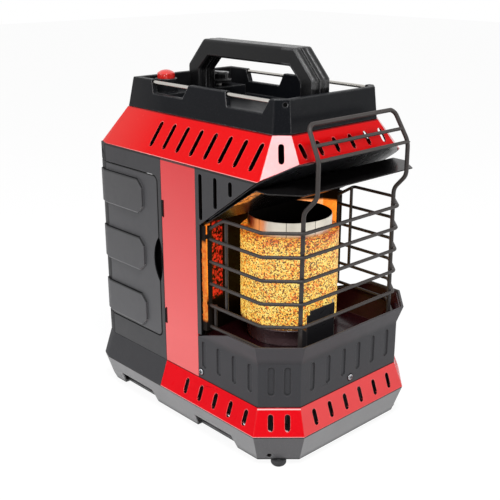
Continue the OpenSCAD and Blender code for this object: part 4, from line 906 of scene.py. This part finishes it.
# Painted light and shade: the gleam and glint finishes are painted highlights, the skirt's front face a painted
# sheen, and the shade finishes and the black of slot walls, door edges, scoop and pocket painted shade
refinished = [
    (["burner_band"], "soot", facesAxis),
    (["hood"], "hoodGleam", onChamfer), (["hood"], "recessShade", slotWall(*cut["hood"])),
    (["front_skirt"], "skirtPale", lambda centre, normal: normal.y < -0.7 and abs(normal.x) < 0.3),
    (["front_skirt"], "skirtGleam", onChamfer),
    (["front_skirt"], "recessShade", slotWall(*cut["skirt"])), (["front_skirt"], "slotGlint", slotSill),
    (["left_vent_panel", "right_vent_panel"], "recessShade", ventWall),
    (both, "blockFace", lambda centre, normal: onBlock(centre) and abs(normal.x) > 0.9),
    (["side_frame", "cylinder_door"], "recessShade", leafEdge),
    (["side_frame"] + both, "doorShade", onRearTaper),
    (both, "doorShade", lambda centre, normal: onBlock(centre) and normal.z > 0.5 and abs(normal.x) < 0.5),
    (both, "doorGleam", lambda centre, normal: onBlock(centre) and normal.z < -0.7),
    (["cylinder_door"], "recessShade", inScoop), (["side_frame"], "recessShade", inPocket),
    (["base_pan"], "panShade", panCorner),
]
for nodes, look, test in refinished:
    for node in nodes:
        refinish(made[node], look, test)
print("packed parts dressed")


# Mesh drum: one profile spun round the burner's axis, with a flat hem on top
drum = {"radius": 56.0, "hemRadius": 47.95, "low": 127.0, "high": 233.0, "wall": 1.2, "roll": 0.5, "shoulder": 3,
        "steps": 128}


def makeDrum():
    outer, inner, hem = drum["radius"], drum["radius"] - drum["wall"], drum["hemRadius"]
    low, high, roll, under = drum["low"], drum["high"], drum["roll"], drum["high"] - drum["wall"]
    profile = [(inner, low), (outer - roll, low), (outer, low + roll), (outer, high - drum["shoulder"]),
               (outer, high - roll), (outer - roll, high), (hem, high), (hem, under), (inner, under)]
    shape = bmesh.new()
    axis = Vector((0, collar["centreY"], 0))
    corners = [shape.verts.new(Vector((r * mm, 0, z * mm)) + axis) for r, z in profile]
    spinRound(shape, corners, corners[1:] + corners[:1], axis, drum["steps"])
    keepSharp(shape)
    piece = newPiece("burnerMesh", shape, "soot")
    refinish(piece, "hotMesh", lambda centre, normal: normal.z > 0.5
             or math.hypot(centre.x, centre.y - axis.y) > (outer - 0.2) * mm)
    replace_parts(piece, "burner_mesh")


# Spins a profile round a vertical axis
def spinRound(shape, corners, nexts, axis, steps):
    sides = [shape.edges.new(pair) for pair in zip(corners, nexts)]
    bmesh.ops.spin(shape, geom=corners + sides, cent=axis, axis=(0, 0, 1), angle=math.tau, steps=steps,
                   use_merge=True)
    bmesh.ops.remove_doubles(shape, verts=shape.verts, dist=1e-6)
    bmesh.ops.recalc_face_normals(shape, faces=shape.faces)


makeDrum()
print("drum rolled")


# Guard wires: each is one bent wire with round bends
guard = {
    "heavy": 2.4, "light": 1.9, "sideX": 104.0, "endY": -34.3, "cornerY": -114.65, "frontX": 75.0,
    "frontY": -145.35, "railZ": 134.0, "loops": 4, "pitch": 25.4, "topZ": 261.0, "topDrop": 13.7,
    "topBendY": -57.0,
    "frame": [(73.5, -141.0, 131), (71.5, -141.0, 281), (70.3, -157.55, 298.5), (69.8, -157.55, 335.5),
              (66.9, -141.55, 364), (62, -139.25, 368)],
    "barShares": (0.0, 0.47), "barInset": 1, "stayX": 100.15, "stayInset": 4, "frameBend": 6.0, "loopBend": 4.0,
    "bendSteps": 8, "longestBend": 0.45, "roundness": 4,
}


def roundedPath(points, bend):
    points = [Vector(point) for point in points]
    path = [points[0]]
    for before, corner, after in zip(points, points[1:], points[2:]):
        back, on = before - corner, after - corner
        reach = min(bend, back.length * guard["longestBend"], on.length * guard["longestBend"])
        start, end = corner + back.normalized() * reach, corner + on.normalized() * reach
        for step in range(guard["bendSteps"] + 1):
            t = step / guard["bendSteps"]
            path.append(start * (1 - t) ** 2 + corner * 2 * t * (1 - t) + end * t ** 2)
    return path + [points[-1]]


def bentWire(node, paths, radius, bend):
    curve = bpy.data.curves.new(dressedName(node), "CURVE")
    curve.dimensions = "3D"
    curve.bevel_depth = radius * mm
    curve.bevel_resolution = guard["roundness"]
    curve.use_fill_caps = True
    for points in paths:
        path = roundedPath(points, bend)
        spline = curve.splines.new("POLY")
        spline.points.add(len(path) - 1)
        for point, place in zip(spline.points, path):
            point.co = (*(place * mm), 1)
        spline.use_smooth = True
    curve.materials.append(finish["darkWire"])
    wire = addObject(dressedName(node), curve)
    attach(wire, "heater")
    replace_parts(wire, node)


def mirrored(half):
    return half + [(-x, y, z) for x, y, z in reversed(half)]


def loopAt(z):
    return mirrored([(guard["sideX"], guard["endY"], z), (guard["sideX"], guard["cornerY"], z),
                     (guard["frontX"], guard["frontY"], z)])


def makeGuard():
    light, bend, rail, pitch = guard["light"], guard["loopBend"], guard["railZ"], guard["pitch"]
    bentWire("guard_frame", [mirrored(guard["frame"])], guard["heavy"], guard["frameBend"])
    low, high = Vector(guard["frame"][3]), Vector(guard["frame"][4])
    bars = []
    for share in guard["barShares"]:
        x, y, z = low.lerp(high, share)
        bars.append([(-x + guard["barInset"], y, z), (x - guard["barInset"], y, z)])
    bentWire("guard_cross_bars", bars, light, 0)
    bentWire("guard_rail", [loopAt(rail)], light, bend)
    for level in range(1, guard["loops"] + 1):
        bentWire("guard_loop_%d" % level, [loopAt(rail + level * pitch)], light, bend)
    sideEnd = (guard["sideX"], guard["endY"], guard["topZ"] - guard["topDrop"])
    sideBend = (guard["sideX"], guard["topBendY"], guard["topZ"])
    bentWire("guard_top_loop", [mirrored([sideEnd, sideBend] + loopAt(guard["topZ"])[1:3])], light, bend)
    stays = []
    for x in (-guard["stayX"], guard["stayX"]):
        stays.append([(x, guard["topBendY"], rail + pitch), (x, guard["topBendY"], guard["topZ"])])
        y = guard["endY"] - guard["stayInset"]
        stays.append([(x, y, rail), (x, y, rail + pitch)])
    bentWire("guard_stays", stays, light, 0)


makeGuard()
print("guard bent")


# Screws: a domed head on a thin black washer, with a dark cross of painted shade standing for the recess. Each is
# the centre of its rim and the way that it faces
screw = {"radius": 3.7, "rise": 1.6, "lip": 0.5, "shank": 1.5, "steps": 24, "rings": 5, "crossLength": 4.0,
         "crossWidth": 0.95, "crossDepth": 0.5, "crossSink": 0.22, "washer": 4.5, "washerRise": 0.12,
         "caseLength": 7.0, "handleLength": 19.6}
caseScrews = [((-112.7, -26.6, 78.5), (-1, 0, 0)), ((112.7, -26.6, 78.5), (1, 0, 0)),
              ((0, -149.55, 78.5), (0, -1, 0))]
caseScrews += [((x, 158.95, z), (0, 1, 0)) for x in (-83.9, 83.9) for z in (85.086, 192.05, 299.014)]
handleSpots = ((-85.25, 393.5), (97.65, 393.5), (-45.8, 422.2), (58.2, 422.2))
handleScrews = [((10.8, y, z), (1, 0, 0)) for y, z in handleSpots]


def joinInto(shape, extra, place):
    bmesh.ops.transform(extra, matrix=place, verts=extra.verts)
    carrier = bpy.data.meshes.new("carrier")
    extra.to_mesh(carrier)
    extra.free()
    shape.from_mesh(carrier)
    bpy.data.meshes.remove(carrier)


def addBlock(shape, size, place):
    block = bmesh.new()
    bmesh.ops.create_cube(block, size=mm)
    bmesh.ops.scale(block, verts=block.verts, vec=size)
    joinInto(shape, block, place)


def addScrew(shape, cross, at, out, length):
    radius, rise, lip, shank, rings = (screw[key] for key in ("radius", "rise", "lip", "shank", "rings"))
    profile = [(0.0, -length), (shank, -length), (shank, 0.0), (radius, 0.0), (radius, lip)]
    for ring in range(1, rings + 1):
        turn = math.radians(90) * ring / rings
        profile.append((radius * math.cos(turn) if ring < rings else 0.0, lip + (rise - lip) * math.sin(turn)))
    place = Matrix.Translation(Vector(at) * mm) @ Vector(out).to_track_quat("Z", "Y").to_matrix().to_4x4()
    head = bmesh.new()
    corners = [head.verts.new((r * mm, 0, z * mm)) for r, z in profile]
    spinRound(head, corners, corners[1:], (0, 0, 0), screw["steps"])
    joinInto(shape, head, place)
    washer = bmesh.new()
    bmesh.ops.create_circle(washer, cap_ends=True, radius=screw["washer"] * mm, segments=screw["steps"])
    bmesh.ops.translate(washer, verts=washer.verts, vec=(0, 0, screw["washerRise"] * mm))
    joinInto(cross, washer, place)
    sunk = place @ Matrix.Translation((0, 0, (rise - screw["crossSink"]) * mm))
    addBlock(cross, (screw["crossLength"], screw["crossWidth"], screw["crossDepth"]), sunk)
    addBlock(cross, (screw["crossWidth"], screw["crossLength"], screw["crossDepth"]), sunk)


def makeScrews(node, screws, length):
    shape, cross = bmesh.new(), bmesh.new()
    for at, out in screws:
        addScrew(shape, cross, at, out, length)
    keepSharp(shape)
    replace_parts(newPiece(dressedName(node), shape, "screwSteel"), node)
    newPiece(dressedName(node) + "Cross", cross, "recessShade")


# Slits in the seam between the side frame and the column: thin black boxes on the surface, painted shade in place
# of the openings
slits = {"x": 112.75, "y": 35.9, "width": 2.6, "depth": 0.3, "spans": ((247.5, 266.5), (119.0, 137.0))}


def makeSlits():
    shape = bmesh.new()
    for x in (-slits["x"], slits["x"]):
        for low, high in slits["spans"]:
            place = Matrix.Translation(Vector((x, slits["y"], (low + high) / 2)) * mm)
            addBlock(shape, (slits["depth"], slits["width"], high - low), place)
    newPiece("seamSlits", shape, "recessShade")


makeSlits()
makeScrews("case_screws", caseScrews, screw["caseLength"])
makeScrews("handle_screws", handleScrews, screw["handleLength"])
print("screws driven")
